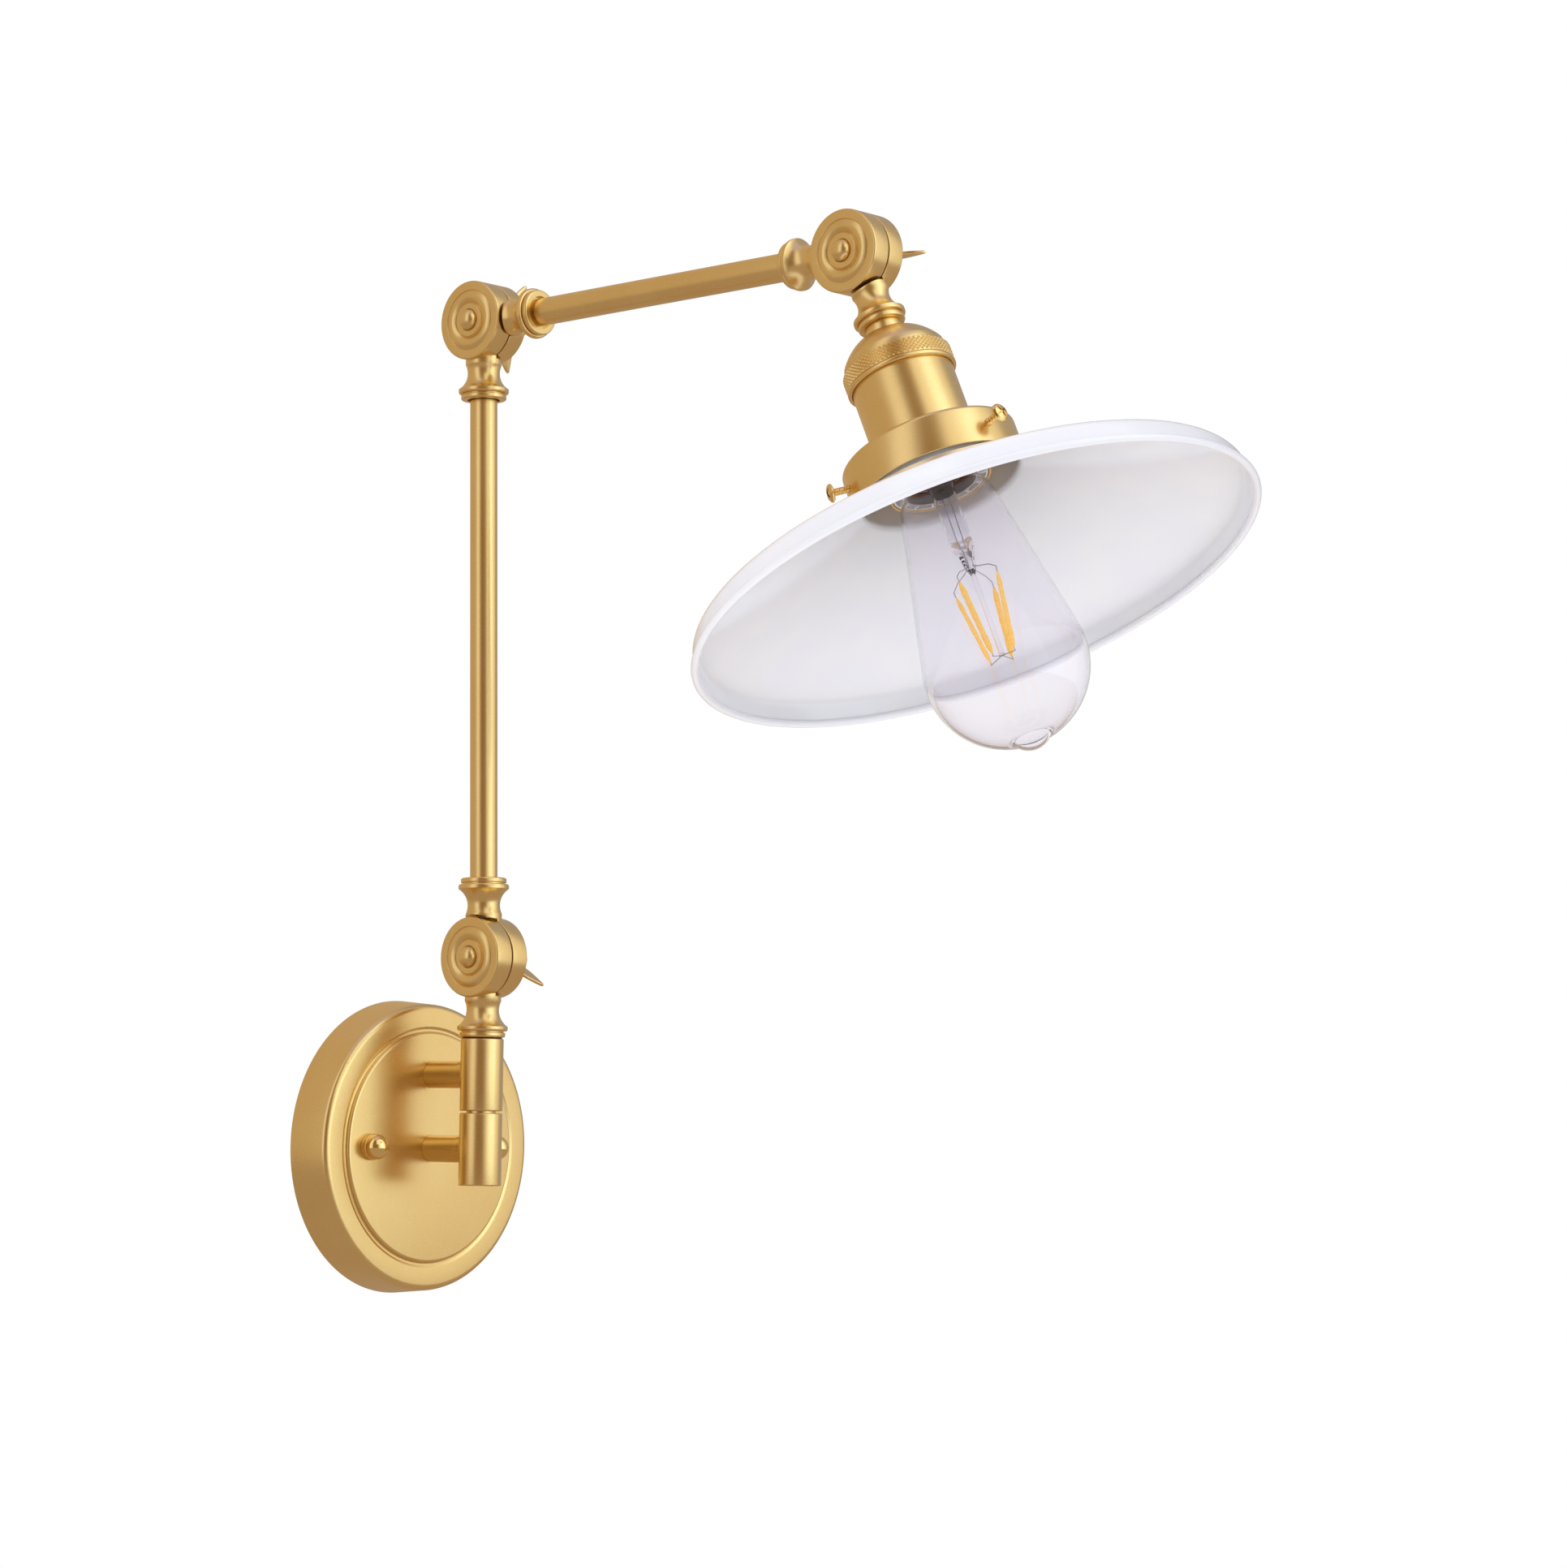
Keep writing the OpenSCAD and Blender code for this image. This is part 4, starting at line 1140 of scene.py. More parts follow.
@dataclass
class SwivelPost:
    """The two posts, the sleeves on them and the shaft that turns in the sleeves."""

    bench: Bench
    reach: float = 48.0
    face: float = 20.2
    post_r: float = 5.5
    post_bore: float = 3.2
    collar_r: float = 6.1
    collar_h: float = 1.2
    thread_r: float = 4.5
    sleeve_r: float = 8.75
    sleeve_h: float = 29.4
    heights: Point = (-0.5, 29.7)
    shaft_r: float = 6.0
    shaft_bore: float = 4.1
    spigot_r: float = 5.6
    washer: float = 0.5
    seat: float = 9.6

    def build(self) -> None:
        """Makes the posts, sleeves and shaft."""
        out = Place(Vector((0, 0, 0)), Vector((0, -1, 0)))
        up = Place(Vector((0, -self.reach * MM, 0)), Vector((0, 0, 1)))
        top = self.heights[1] + self.sleeve_h / 2
        foot = self.heights[0] - self.sleeve_h / 2
        for node, sleeve, height in zip(("lower_post", "upper_post"),
                                        ("lower_sleeve", "upper_sleeve"), self.heights):
            self.bench.set_down(node, self.post(height), out, SATIN_GOLD)
            self.bench.set_down(sleeve, self.sleeve(height, node == "lower_post"), up, SATIN_GOLD)
        self.bench.refine("post_nuts", ZINC, 0.3)
        self.bench.set_down("swivel_shaft", self.shaft(foot, top), up, SATIN_GOLD)
        washer = ring(self.shaft_r + 0.05, self.sleeve_r - 0.7, top, top + self.washer, 0.12)
        self.bench.set_down("swivel_washer", washer, up, NYLON)
        keeper = ring(self.shaft_r, self.shaft_r + 1.3, foot + 0.65, foot + 3.25, 0.3)
        self.bench.set_down("swivel_retaining_nut", keeper, up, ZINC)

    def post(self, height: float) -> bpy.types.Mesh:
        """One hollow post, threaded behind the canopy and saddled onto its sleeve.

        Args:
            height: how high it stands.
        Returns:
            The mesh, in millimetres.
        """
        end = self.reach - 1.0
        neck = self.reach - self.sleeve_r - self.collar_h
        shape = Outline().to(self.post_bore, self.face - 5).to(self.thread_r, self.face - 5, 0.3)
        shape.to(self.thread_r, self.face).to(self.post_r, self.face, 0.25)
        shape.to(self.post_r, neck).to(self.collar_r, neck, 0.4).to(self.collar_r, end)
        shape.to(self.post_bore, end)
        saddle = moved(rod(self.sleeve_r, -40, 40, 0, 128), turn(90, "X"), shift(0, 0, self.reach))
        return moved(worked(lathe(shape, 96), "DIFFERENCE", saddle), shift(0, height))

    def sleeve(self, height: float, keeps_nut: bool) -> bpy.types.Mesh:
        """One sleeve, with a hole for the lead and, in the lower one, a recess for the nut.

        Args:
            height: the height of its middle.
            keeps_nut: whether it has the recess.
        Returns:
            The mesh, in millimetres.
        """
        low, high, bore = height - self.sleeve_h / 2, height + self.sleeve_h / 2, self.shaft_r + 0.05
        shape = Outline()
        if keeps_nut:
            shape.to(bore, low + 3.4).to(self.shaft_r + 1.4, low + 3.4).to(self.shaft_r + 1.4, low, 0.2)
        else:
            shape.to(bore, low, 0.2)
        shape.to(self.sleeve_r, low, 0.55).to(self.sleeve_r, high, 0.55).to(bore, high, 0.2)
        hole = moved(rod(self.post_bore, 1, 20), turn(-90, "X"), shift(0, 0, height))
        return worked(lathe(shape, 160), "DIFFERENCE", hole)

    def shaft(self, foot: float, top: float) -> bpy.types.Mesh:
        """The hollow shaft with its two windows and the spigot into the knuckle.

        Args:
            foot: the lower sleeve's lower end.
            top: the upper sleeve's upper end.
        Returns:
            The mesh, in millimetres.
        """
        seat = top + self.washer
        shape = Outline().to(self.shaft_bore, foot + 0.6, 0.2).to(self.shaft_r, foot + 0.6, 0.4)
        shape.to(self.shaft_r, seat, 0.1).to(self.spigot_r, seat, 0.1)
        shape.to(self.spigot_r, seat + self.seat, 0.4).to(self.shaft_bore, seat + self.seat, 0.2)
        windows = [moved(rod(self.post_bore, 0, 14), turn(-90, "X"), shift(0, 0, z)) for z in self.heights]
        return worked(lathe(shape, 96), "DIFFERENCE", *windows)


@dataclass
class Knuckle:
    """One half-lap knuckle: two discs with turned stems, a bolt and a wing nut."""

    bench: Bench
    patterns: Patterns
    name: str
    pivot: Vector
    bolt_half: str
    bolt_stem: Vector
    nut_half: str
    nut_stem: Vector
    wing_angle: float
    nut_seat_r: float = 5.6
    bolt_seat_r: float = 5.6
    lead_bore_r: float = 3.5
    mouth_r: float = 6.7
    mouth_h: float = 1.8
    disc_r: float = 16.3
    disc_t: float = 8.4
    gap: float = 0.6
    clear: float = 1.1
    stem_l: float = 32.4
    waist_r: float = 6.6
    root_r: float = 7.4
    cove_r: float = 8.0
    ring_r: float = 10.3
    ring_h: float = 1.9
    collar_r: float = 9.3
    collar_h: float = 2.0
    groove: float = 0.5
    groove_r: float = 8.6
    bolt_r: float = 2.5
    head_r: float = 4.3
    head_h: float = 3.2
    chamber: Point = (5.6, 11.0)
    chamber_t: float = 3.0
    boss_r: float = 6.9
    boss_h: float = 0.5
    seat: float = 9.6
    bolt_reach: float = 7.5
    friction_r: float = 11.5
    nut_stand: float = 0.95
    dish_r: float = 12.15
    dish_w: float = 4.7
    dish_rise: float = 0.85
    dish_steps: int = 14
    hub_r: float = 5.0
    hub_h: float = 6.5
    wing_t: float = 2.2
    near_edge: tuple[Point, ...] = (
        (1.65, 2.6), (1.8, 6.0), (2.75, 9.9), (4.4, 13.1), (6.55, 15.85), (8.7, 17.8), (9.9, 18.55))
    far_edge: tuple[Point, ...] = (
        (6.0, 2.6), (7.3, 4.45), (8.8, 6.1), (9.95, 9.6), (10.38, 14.1), (10.48, 17.0), (10.42, 18.3))

    def build(self) -> None:
        """Makes both halves and what clamps them."""
        across = Place(self.pivot, Vector((1, 0, 0)), Vector((0, 0, -1)))
        self.half(self.bolt_half, Side.BOLT, self.bolt_stem, self.bolt_seat_r)
        self.half(self.nut_half, Side.NUT, self.nut_stem, self.nut_seat_r)
        face = self.gap / 2 + self.disc_t
        self.bench.set_down(f"{self.name}_bolt", self.bolt(face), across, SATIN_GOLD)
        friction = ring(self.friction_r, self.disc_r - 1.3, -self.gap / 2, self.gap / 2 - 0.075, 0.1)
        self.bench.set_down(f"{self.name}_friction_washer", friction, across, FIBRE)
        washer = ring(self.bolt_r + 0.05, 5.8, face + self.boss_h, face + 0.8, 0.1)
        self.bench.set_down(f"{self.name}_wing_washer", washer, across, ZINC)
        turned = Place(self.pivot, Vector((1, 0, 0)),
                       Vector((0, math.sin(math.radians(self.wing_angle)),
                               -math.cos(math.radians(self.wing_angle)))))
        nut = self.wing_nut(face + self.nut_stand)
        self.bench.set_down(f"{self.name}_wing_nut", nut, turned, SATIN_GOLD)

    def half(self, node: str, side: Side, stem: Vector, seat_r: float) -> None:
        """One disc and its stem, cut to lap over the other half.

        Args:
            node: the CAD node.
            side: which side of the arms' plane its disc is on.
            stem: where its stem points.
            seat_r: the radius of the seat in its stem.
        """
        out = turn(90 * side.value, "Y")
        inner = turn(-90 * side.value, "Y")
        body = self.stem()
        own = moved(rod(self.chamber[1] + 0.8, -THROUGH, THROUGH, 0, 96), out)
        other = moved(rod(self.disc_r + self.clear, -self.gap / 2, THROUGH, 0, 160), inner)
        body = worked(body, "DIFFERENCE", own, other)
        disc = moved(self.disc(side), shift(z=self.gap / 2), out)
        body = worked(body, "UNION", disc)
        middle = sum(self.chamber) / 2
        past = self.stem_l + 5
        tools = [rod(self.lead_bore_r, middle, past, 0, 64),
                 rod(seat_r, self.stem_l - self.seat, past, 0, 96),
                 rod(self.mouth_r, self.stem_l - self.mouth_h, past, 0, 96)]
        body = worked(body, "DIFFERENCE", *tools)
        self.bench.set_down(node, body, Place(self.pivot, stem), SATIN_GOLD)

    def disc(self, side: Side) -> bpy.types.Mesh:
        """The round of one half, from the lap outwards, with its turned face.

        Args:
            side: which side of the arms' plane it is on.
        Returns:
            The mesh, in millimetres.
        """
        r0, r1 = self.chamber
        face = self.disc_t
        bore = self.bolt_r + 0.05
        shape = Outline().to(bore, 0.0).to(r0, 0.0, 0.2).to(r0, self.chamber_t).to(r1, self.chamber_t)
        shape.to(r1, 0.0, 0.2).to(self.disc_r, 0.0, 0.35).to(self.disc_r, face, 0.7)
        shape.to(self.dish_r + 0.4, face, 0.15).to(self.dish_r + 0.2, face - 0.3, 0.12)
        for i in range(self.dish_steps + 1):
            t = i / self.dish_steps
            shape.to(self.dish_r - self.dish_w * t, face - 0.12 + self.dish_rise * math.sin(math.pi * t))
        shape.to(7.25, face - 0.4, 0.15).to(7.0, face - 0.2, 0.1)
        shape.to(self.boss_r, face + self.boss_h, 0.3)
        if side is Side.BOLT:
            shape.to(self.head_r + 0.3, face + self.boss_h, 0.15).to(self.head_r + 0.1, face, 0.05)
            shape.to(bore, face)
        else:
            shape.to(bore, face + self.boss_h, 0.15)
        return lathe(shape, 160)

    def stem(self) -> bpy.types.Mesh:
        """The turned stem, from the pivot to its end.

        Returns:
            The mesh, in millimetres.
        """
        start = self.stem_l - self.collar_h - self.groove - self.ring_h
        cove = start - math.sqrt(self.cove_r**2 - (self.waist_r + self.cove_r - self.ring_r) ** 2)
        centre = (self.waist_r + self.cove_r, cove)
        low = math.degrees(math.asin(min(1.0, (self.cove_r - (self.root_r - self.waist_r)) / self.cove_r)))
        high = math.degrees(math.acos((self.waist_r + self.cove_r - self.ring_r) / self.cove_r))
        shape = Outline().to(0, 0).to(self.root_r, 0)
        shape.bow(centre, self.cove_r, 180 + (90 - low), 180 - high, 26)
        shape.to(self.ring_r, start, 0.25).to(self.ring_r, start + self.ring_h, 0.85)
        shape.to(self.groove_r, start + self.ring_h, 0.1)
        shape.to(self.groove_r, start + self.ring_h + self.groove, 0.1)
        shape.to(self.collar_r, start + self.ring_h + self.groove, 0.7)
        shape.to(self.collar_r, self.stem_l, 0.7).to(0, self.stem_l)
        return lathe(shape, 128, closed=False)

    def bolt(self, face: float) -> bpy.types.Mesh:
        """The bolt, head towards -X: a button with a rounded top, and a threaded end.

        Args:
            face: how far the discs' faces are from the middle.
        Returns:
            The mesh, in millimetres.
        """
        end = face + self.nut_stand + self.hub_h + self.bolt_reach
        head = face + self.boss_h
        shape = Outline().to(0, -(head + self.head_h))
        for i in range(1, 13):
            angle = math.radians(90 * i / 12)
            shape.to(self.head_r * math.sin(angle) ** 0.9, -(head + self.head_h * math.cos(angle)))
        shape.to(self.head_r, -face, 0.2).to(self.bolt_r, -face).to(self.bolt_r, end - 10.0)
        shape.to(self.bolt_r - 0.3, end - 9.5).to(self.bolt_r - 0.3, end, 0.4).to(0, end)
        core = lathe(shape, 64, closed=False)
        thread = self.patterns.ridge(SATIN_GOLD, self.bolt_r - 0.26, 0.8, end - 9.4, end - 0.6, 0.25)
        return together(core, thread)

    def wing_nut(self, foot: float) -> bpy.types.Mesh:
        """A cast wing nut: a tapered hub and two pointed wings that lean outwards.

        Args:
            foot: where it stands.
        Returns:
            The mesh, in millimetres.
        """
        top = foot + self.hub_h
        hub = Outline().to(self.bolt_r + 0.05, foot, 0.2).to(self.hub_r, foot, 0.5)
        hub.to(self.hub_r - 0.5, foot + 2.4, 0.8).to(self.hub_r - 1.4, top, 0.6)
        hub.to(self.bolt_r + 0.05, top, 0.2)
        body = lathe(hub, 64)
        wing = self.wing(foot)
        for angle in (0, 180):
            body = worked(body, "UNION", moved(wing.copy(), turn(angle, "Z")))
        bore = rod(self.bolt_r + 0.05, foot - 1, top + 2, 0, 64)
        return worked(body, "DIFFERENCE", bore)

    def wing(self, foot: float) -> bpy.types.Mesh:
        """One wing: an ear between its near and its far edge, thinner towards the tip.

        Args:
            foot: where the nut stands.
        Returns:
            The mesh, in millimetres.
        """
        bm = bmesh.new()
        rows = []
        count, sides = 30, 24
        for i in range(count + 1):
            near = along_corners(self.near_edge, i / count)
            far = along_corners(self.far_edge, i / count)
            close = min(1.0, 0.3 + 9.0 * (1 - i / count))
            middle = (near + far) / 2
            half = (far - near) / 2 * close
            thick = self.wing_t / 2 * (1 - 0.48 * i / count) * close
            row = []
            for k in range(sides):
                cos, sin = math.cos(math.tau * k / sides), math.sin(math.tau * k / sides)
                spot = middle + half * math.copysign(abs(sin) ** 0.8, sin)
                row.append(bm.verts.new((-spot.y, thick * math.copysign(abs(cos) ** 0.55, cos),
                                         foot + spot.x)))
            rows.append(row)
        return skinned(bm, rows)


@dataclass
class Arm:
    """A tube between two knuckles, with its lead."""

    bench: Bench
    name: str
    start: Vector
    end: Vector
    tube_r: float = 5.6
    bore_r: float = 4.1
    lead_r: float = 3.3
    hidden: float = 22.8
    lead_gap: float = 17.4

    def build(self) -> None:
        """Makes the tube and the lead in it."""
        place = Place(self.start, self.end - self.start)
        length = (self.end - self.start).length / MM
        tube = ring(self.bore_r, self.tube_r, self.hidden, length - self.hidden, 0.3, 128)
        self.bench.set_down(f"{self.name}_tube", tube, place, SATIN_GOLD)
        lead = rod(self.lead_r, self.lead_gap, length - self.lead_gap, 0.4, 48)
        self.bench.set_down(f"{self.name}_lead", lead, place, LEAD)


@dataclass
class LampHolder:
    """The neck, socket cap, shell, porcelain core and contacts."""

    bench: Bench
    patterns: Patterns
    place: Place
    neck: float = 32.4
    neck_r: float = 7.2
    neck_h: float = 4.0
    nipple_r: float = 4.9
    cap_h: float = 20.7
    cap_r: float = 21.6
    band_h: float = 8.4
    dome_r: float = 23.0
    dome_end_r: float = 19.9
    cap_wall: float = 1.2
    shell_r: float = 20.0
    shell_wall: float = 0.9
    shell_l: float = 51.4
    set_back: float = 0.4
    core_wall: float = 4.6
    ribs: int = 14
    knurl_count: int = 66
    knurl_rows: int = 7
    lip_h: float = 1.6
    stud_rise: float = 0.6
    shell_grip: float = 5.5
    nipple_down: float = 9.6
    nipple_up: float = 7.5
    bulb_inset: float = 4.4
    bulb_base_l: float = 27.0
    bulb_tip: float = 5.2
    pocket_h: float = 3.4

    def build(self) -> None:
        """Makes the holder from the neck to the mouth."""
        self.cap_s = self.neck + self.neck_h
        self.cap_end = self.cap_s + self.cap_h
        self.shell_s = self.cap_end - self.shell_grip
        self.shell_end = self.shell_s + self.shell_l
        self.core_end = self.shell_end - self.set_back
        low, high = self.neck - self.nipple_down, self.cap_s + self.nipple_up
        nipple = ring(3.5, self.nipple_r - 0.3, low, high, 0.3, 64)
        thread = self.patterns.ridge(POLISHED_GOLD, self.nipple_r - 0.3, 1.0, low + 0.6, high - 0.5, 0.28)
        put = self.bench.set_down
        put("head_nipple", together(nipple, thread), self.place, POLISHED_GOLD)
        neck = Outline().to(self.nipple_r + 0.1, self.neck).to(self.neck_r, self.neck, 0.5)
        neck.to(self.neck_r, self.cap_s, 0.5).to(self.nipple_r + 0.1, self.cap_s)
        put("head_neck", lathe(neck), self.place, SATIN_GOLD)
        self.bench.refine("nipple_nut", ZINC, 0.3)
        put("socket_cap", self.cap(), self.place, SATIN_GOLD)
        put("socket_cap", self.knurl(), self.place, SATIN_GOLD, False, "socket_cap_knurl")
        shell = ring(self.shell_r - self.shell_wall, self.shell_r, self.shell_s, self.shell_end, 0.25, 192)
        put("socket_shell", shell, self.place, SATIN_GOLD)
        put("socket_core", self.core(), self.place, PORCELAIN)
        self.thread_shell()

    def cap(self) -> bpy.types.Mesh:
        """The dome with its band and rounded lip.

        Returns:
            The mesh, in millimetres.
        """
        band = self.cap_end - self.band_h
        top_r = self.neck_r + 1.4
        middle = self.cap_s + math.sqrt(self.dome_r**2 - top_r**2)
        start = math.degrees(math.asin((self.cap_s - middle) / self.dome_r))
        end = -math.degrees(math.acos(self.dome_end_r / self.dome_r))
        lip = self.cap_end - self.lip_h
        shape = Outline().to(self.nipple_r + 0.1, self.cap_s)
        shape.bow((0, middle), self.dome_r, start, end, 24)
        shape.to(self.dome_end_r, band + 0.1, 0.1).to(self.cap_r - 0.6, band + 0.1, 0.3)
        shape.to(self.cap_r - 0.6, lip - 0.45, 0.05).to(self.cap_r - 0.95, lip - 0.4, 0.05)
        shape.to(self.cap_r - 0.95, lip, 0.05).to(self.cap_r, lip, 0.35)
        shape.to(self.cap_r, self.cap_end, 0.85).to(self.shell_r + 0.1, self.cap_end, 0.3)
        shape.to(self.shell_r + 0.1, band + 1.4)
        inner = self.dome_r - self.cap_wall
        low = math.degrees(math.asin((band + 1.4 - middle) / inner))
        high = math.degrees(math.asin((self.cap_s + self.cap_wall - middle) / inner))
        shape.bow((0, middle), inner, low, high, 14)
        shape.to(self.nipple_r + 0.1, self.cap_s + self.cap_wall)
        return lathe(shape, 192)

    def knurl(self) -> bpy.types.Mesh:
        """The diamond knurl on the cap's band.

        Returns:
            The mesh, in millimetres.
        """
        band = self.cap_end - self.band_h
        pitch = (self.band_h - self.lip_h - 0.6) / (self.knurl_rows + 1)
        width = math.tau * self.cap_r / self.knurl_count
        stud = moved(diamond(self.cap_r - self.stud_rise, width * 0.98, pitch * 1.96, self.stud_rise),
                     shift(z=band + 0.15 + pitch))
        return self.patterns.round_axis(stud, SATIN_GOLD, self.knurl_count, self.knurl_rows, pitch)

    def core(self) -> bpy.types.Mesh:
        """The porcelain core, with ribs across the ring-shaped pocket of its rounded mouth.

        Returns:
            The mesh, in millimetres.
        """
        outer = self.shell_r - self.shell_wall - 0.1
        bore = outer - self.core_wall
        contact = self.core_end - self.bulb_inset - self.bulb_base_l - self.bulb_tip
        floor = contact - 1.5
        rim0, rim1, pocket = bore + 0.9, outer - 1.0, self.core_end - self.pocket_h
        shape = Outline().to(0, floor - 6).to(outer, floor - 6, 0.4).to(outer, self.core_end, 0.5)
        shape.to(rim1, self.core_end, 0.35).to(rim1, pocket).to(rim0, pocket)
        shape.to(rim0, self.core_end, 0.3).to(bore, self.core_end, 0.4).to(bore, floor).to(0, floor)
        body = lathe(shape, 160, closed=False)
        rib = block((rim0 - 0.2, rim1 + 0.2), (-0.5, 0.5), (pocket - 0.2, self.core_end - 0.12))
        ribs = self.patterns.round_axis(softened(rib, 0.15), PORCELAIN, self.ribs)
        self.floor, self.bore = floor, bore
        return together(body, ribs)

    def thread_shell(self) -> None:
        """The threaded shell in the core, and the centre contact."""
        end = self.core_end - self.pocket_h
        sleeve = ring(self.bore - 0.55, self.bore - 0.05, self.floor, end, 0.1, 128)
        thread = self.patterns.ridge(COPPER, self.bore - 0.5, 3.6, self.floor + 1.5, end - 1.2, 0.28)
        self.bench.set_down("socket_thread_shell", together(sleeve, thread), self.place, COPPER)
        tab = Outline().to(0, self.floor - 5.5).to(2, self.floor - 5.5, 0.2).to(2, self.floor)
        tab.to(4.4, self.floor, 0.1).to(4.4, self.floor + 0.5, 0.15).to(1.8, self.floor + 0.5)
        tab.to(1.8, self.floor + 1.3, 0.3).to(0, self.floor + 1.35)
        self.bench.set_down("socket_contact", lathe(tab, 64, closed=False), self.place, COPPER)


@dataclass
class ShadeGroup:
    """The shade, its holder and the screws that hold it."""

    bench: Bench
    patterns: Patterns
    place: Place
    end: float = 102.5
    height: float = 15.5
    radius: float = 34.3
    wall: float = 1.2
    shell_r: float = 20.0
    neck_r: float = 31.6
    neck_h: float = 11.0
    shade_r: float = 112.0
    skin: float = 1.0
    cone_h: float = 34.6
    skirt_h: float = 9.8
    root_fillet: float = 2.6
    shoulder_fillet: float = 5.0
    spread: float = 3.0
    bead: float = 1.5
    screw_r: float = 1.5
    head_r: float = 3.6
    reach: float = 6.2
    angles: tuple[float, float, float] = (101.0, 221.0, 341.0)

    def build(self) -> None:
        """Makes holder, shade and screws."""
        top = self.end - self.height
        self.screw_s = top + self.height / 2
        self.bench.set_down("shade_holder", self.holder(top), self.place, SATIN_GOLD)
        nut = ring(self.shell_r, self.shell_r + 4, top + self.wall, top + self.wall + 3.4, 0.4, 128)
        self.bench.set_down("holder_ring_nut", nut, self.place, POLISHED_GOLD)
        self.bench.set_down("shade", self.shade(), self.place, ENAMEL)
        for node, angle in zip(("shade_screw_front", "shade_screw_left", "shade_screw_right"), self.angles):
            screw = moved(self.screw(), turn(90, "Y"), turn(angle, "Z"), shift(z=self.screw_s))
            self.bench.set_down(node, screw, self.place, POLISHED_GOLD)

    def holder(self, top: float) -> bpy.types.Mesh:
        """The shallow cup, drilled for its screws.

        Args:
            top: the station of its closed end.
        Returns:
            The mesh, in millimetres.
        """
        bore = self.shell_r + 0.1
        shape = Outline().to(bore, top, 0.2).to(self.radius, top, 1.6).to(self.radius, self.end, 0.3)
        shape.to(self.radius - self.wall, self.end, 0.2)
        shape.to(self.radius - self.wall, top + self.wall, 1.0).to(bore, top + self.wall)
        cup = lathe(shape, 192)
        drill = moved(rod(self.screw_r + 0.05, self.neck_r, self.radius + 5, 0, 32), turn(90, "Y"))
        holes = [moved(drill.copy(), turn(a, "Z"), shift(z=self.screw_s)) for a in self.angles]
        return worked(cup, "DIFFERENCE", *holes)

    def shade(self) -> bpy.types.Mesh:
        """The enamelled shade: neck, cone, shoulder, steep band and rolled edge, one closed wall.

        Returns:
            The mesh, in millimetres.
        """
        half = self.skin / 2
        cone_s = self.end + 0.5
        shoulder_s = cone_s + self.cone_h
        rim_s = shoulder_s + self.skirt_h
        neck = self.neck_r - half
        edge = self.shade_r - self.spread - half
        rim = (self.shade_r - self.bead, rim_s - self.bead)
        line = [(neck, cone_s - self.neck_h, 0.0), (neck, cone_s + half, self.root_fillet),
                (edge, shoulder_s, self.shoulder_fillet), (rim[0], rim[1], 0.0)]
        outer, inner = self.offset(line, half), self.offset(line, -half)
        shape = Outline()
        for r, s, fillet in outer:
            shape.to(r, s, fillet)
        start = math.degrees(math.atan2(outer[-1][1] - rim[1], outer[-1][0] - rim[0]))
        shape.bow(rim, self.bead, start - 24, start + 250, 24)
        for r, s, fillet in inner[::-1]:
            shape.to(r, s, fillet)
        return lathe(shape, 288)

    @staticmethod
    def offset(line: Sequence[tuple[float, float, float]], away: float) -> list[tuple[float, float, float]]:
        """Moves a line of corners sideways.

        Args:
            line: radius, height and fillet of each corner.
            away: how far to the outside.
        Returns:
            The moved corners, with fillets that keep the wall even.
        """
        found = []
        for i, (r, s, fillet) in enumerate(line):
            here = Vector((r, s))
            before = (here - Vector(line[i - 1][:2])).normalized() if i else None
            after = (Vector(line[i + 1][:2]) - here).normalized() if i + 1 < len(line) else None
            first = before or after
            last = after or before
            normal = (Vector((first.y, -first.x)) + Vector((last.y, -last.x))).normalized()
            stretch = normal.dot(Vector((first.y, -first.x)))
            moved_to = here + normal * (away / stretch)
            bend = first.x * last.y - first.y * last.x
            round_by = fillet + (away if bend > 0 else -away) if fillet else 0.0
            found.append((moved_to.x, moved_to.y, max(round_by, 0.0)))
        return found

    def screw(self) -> bpy.types.Mesh:
        """A shade screw along Z: threaded shank and a slotted, rounded head.

        Returns:
            The mesh, in millimetres.
        """
        tip = self.neck_r + 0.1
        head = self.radius + self.reach
        shape = Outline().to(0, tip).to(1.1, tip, 0.2).to(1.25, tip + 0.5).to(1.25, head - 0.2)
        shape.to(self.head_r - 0.5, head, 0.1).to(self.head_r, head + 0.35, 0.25)
        shape.to(self.head_r, head + 1.0, 0.3).to(self.head_r - 0.9, head + 1.8, 0.5).to(0, head + 2.2)
        body = lathe(shape, 64, closed=False)
        slots = [moved(block((-2.5, 2.5), (-0.4, 0.4), (head + 1.1, head + 4)), turn(a, "Z"))
                 for a in (30, 120)]
        body = worked(body, "DIFFERENCE", *slots)
        thread = self.patterns.ridge(POLISHED_GOLD, 1.24, 0.6, tip + 0.7, head - 0.5, 0.22)
        return together(body, thread)


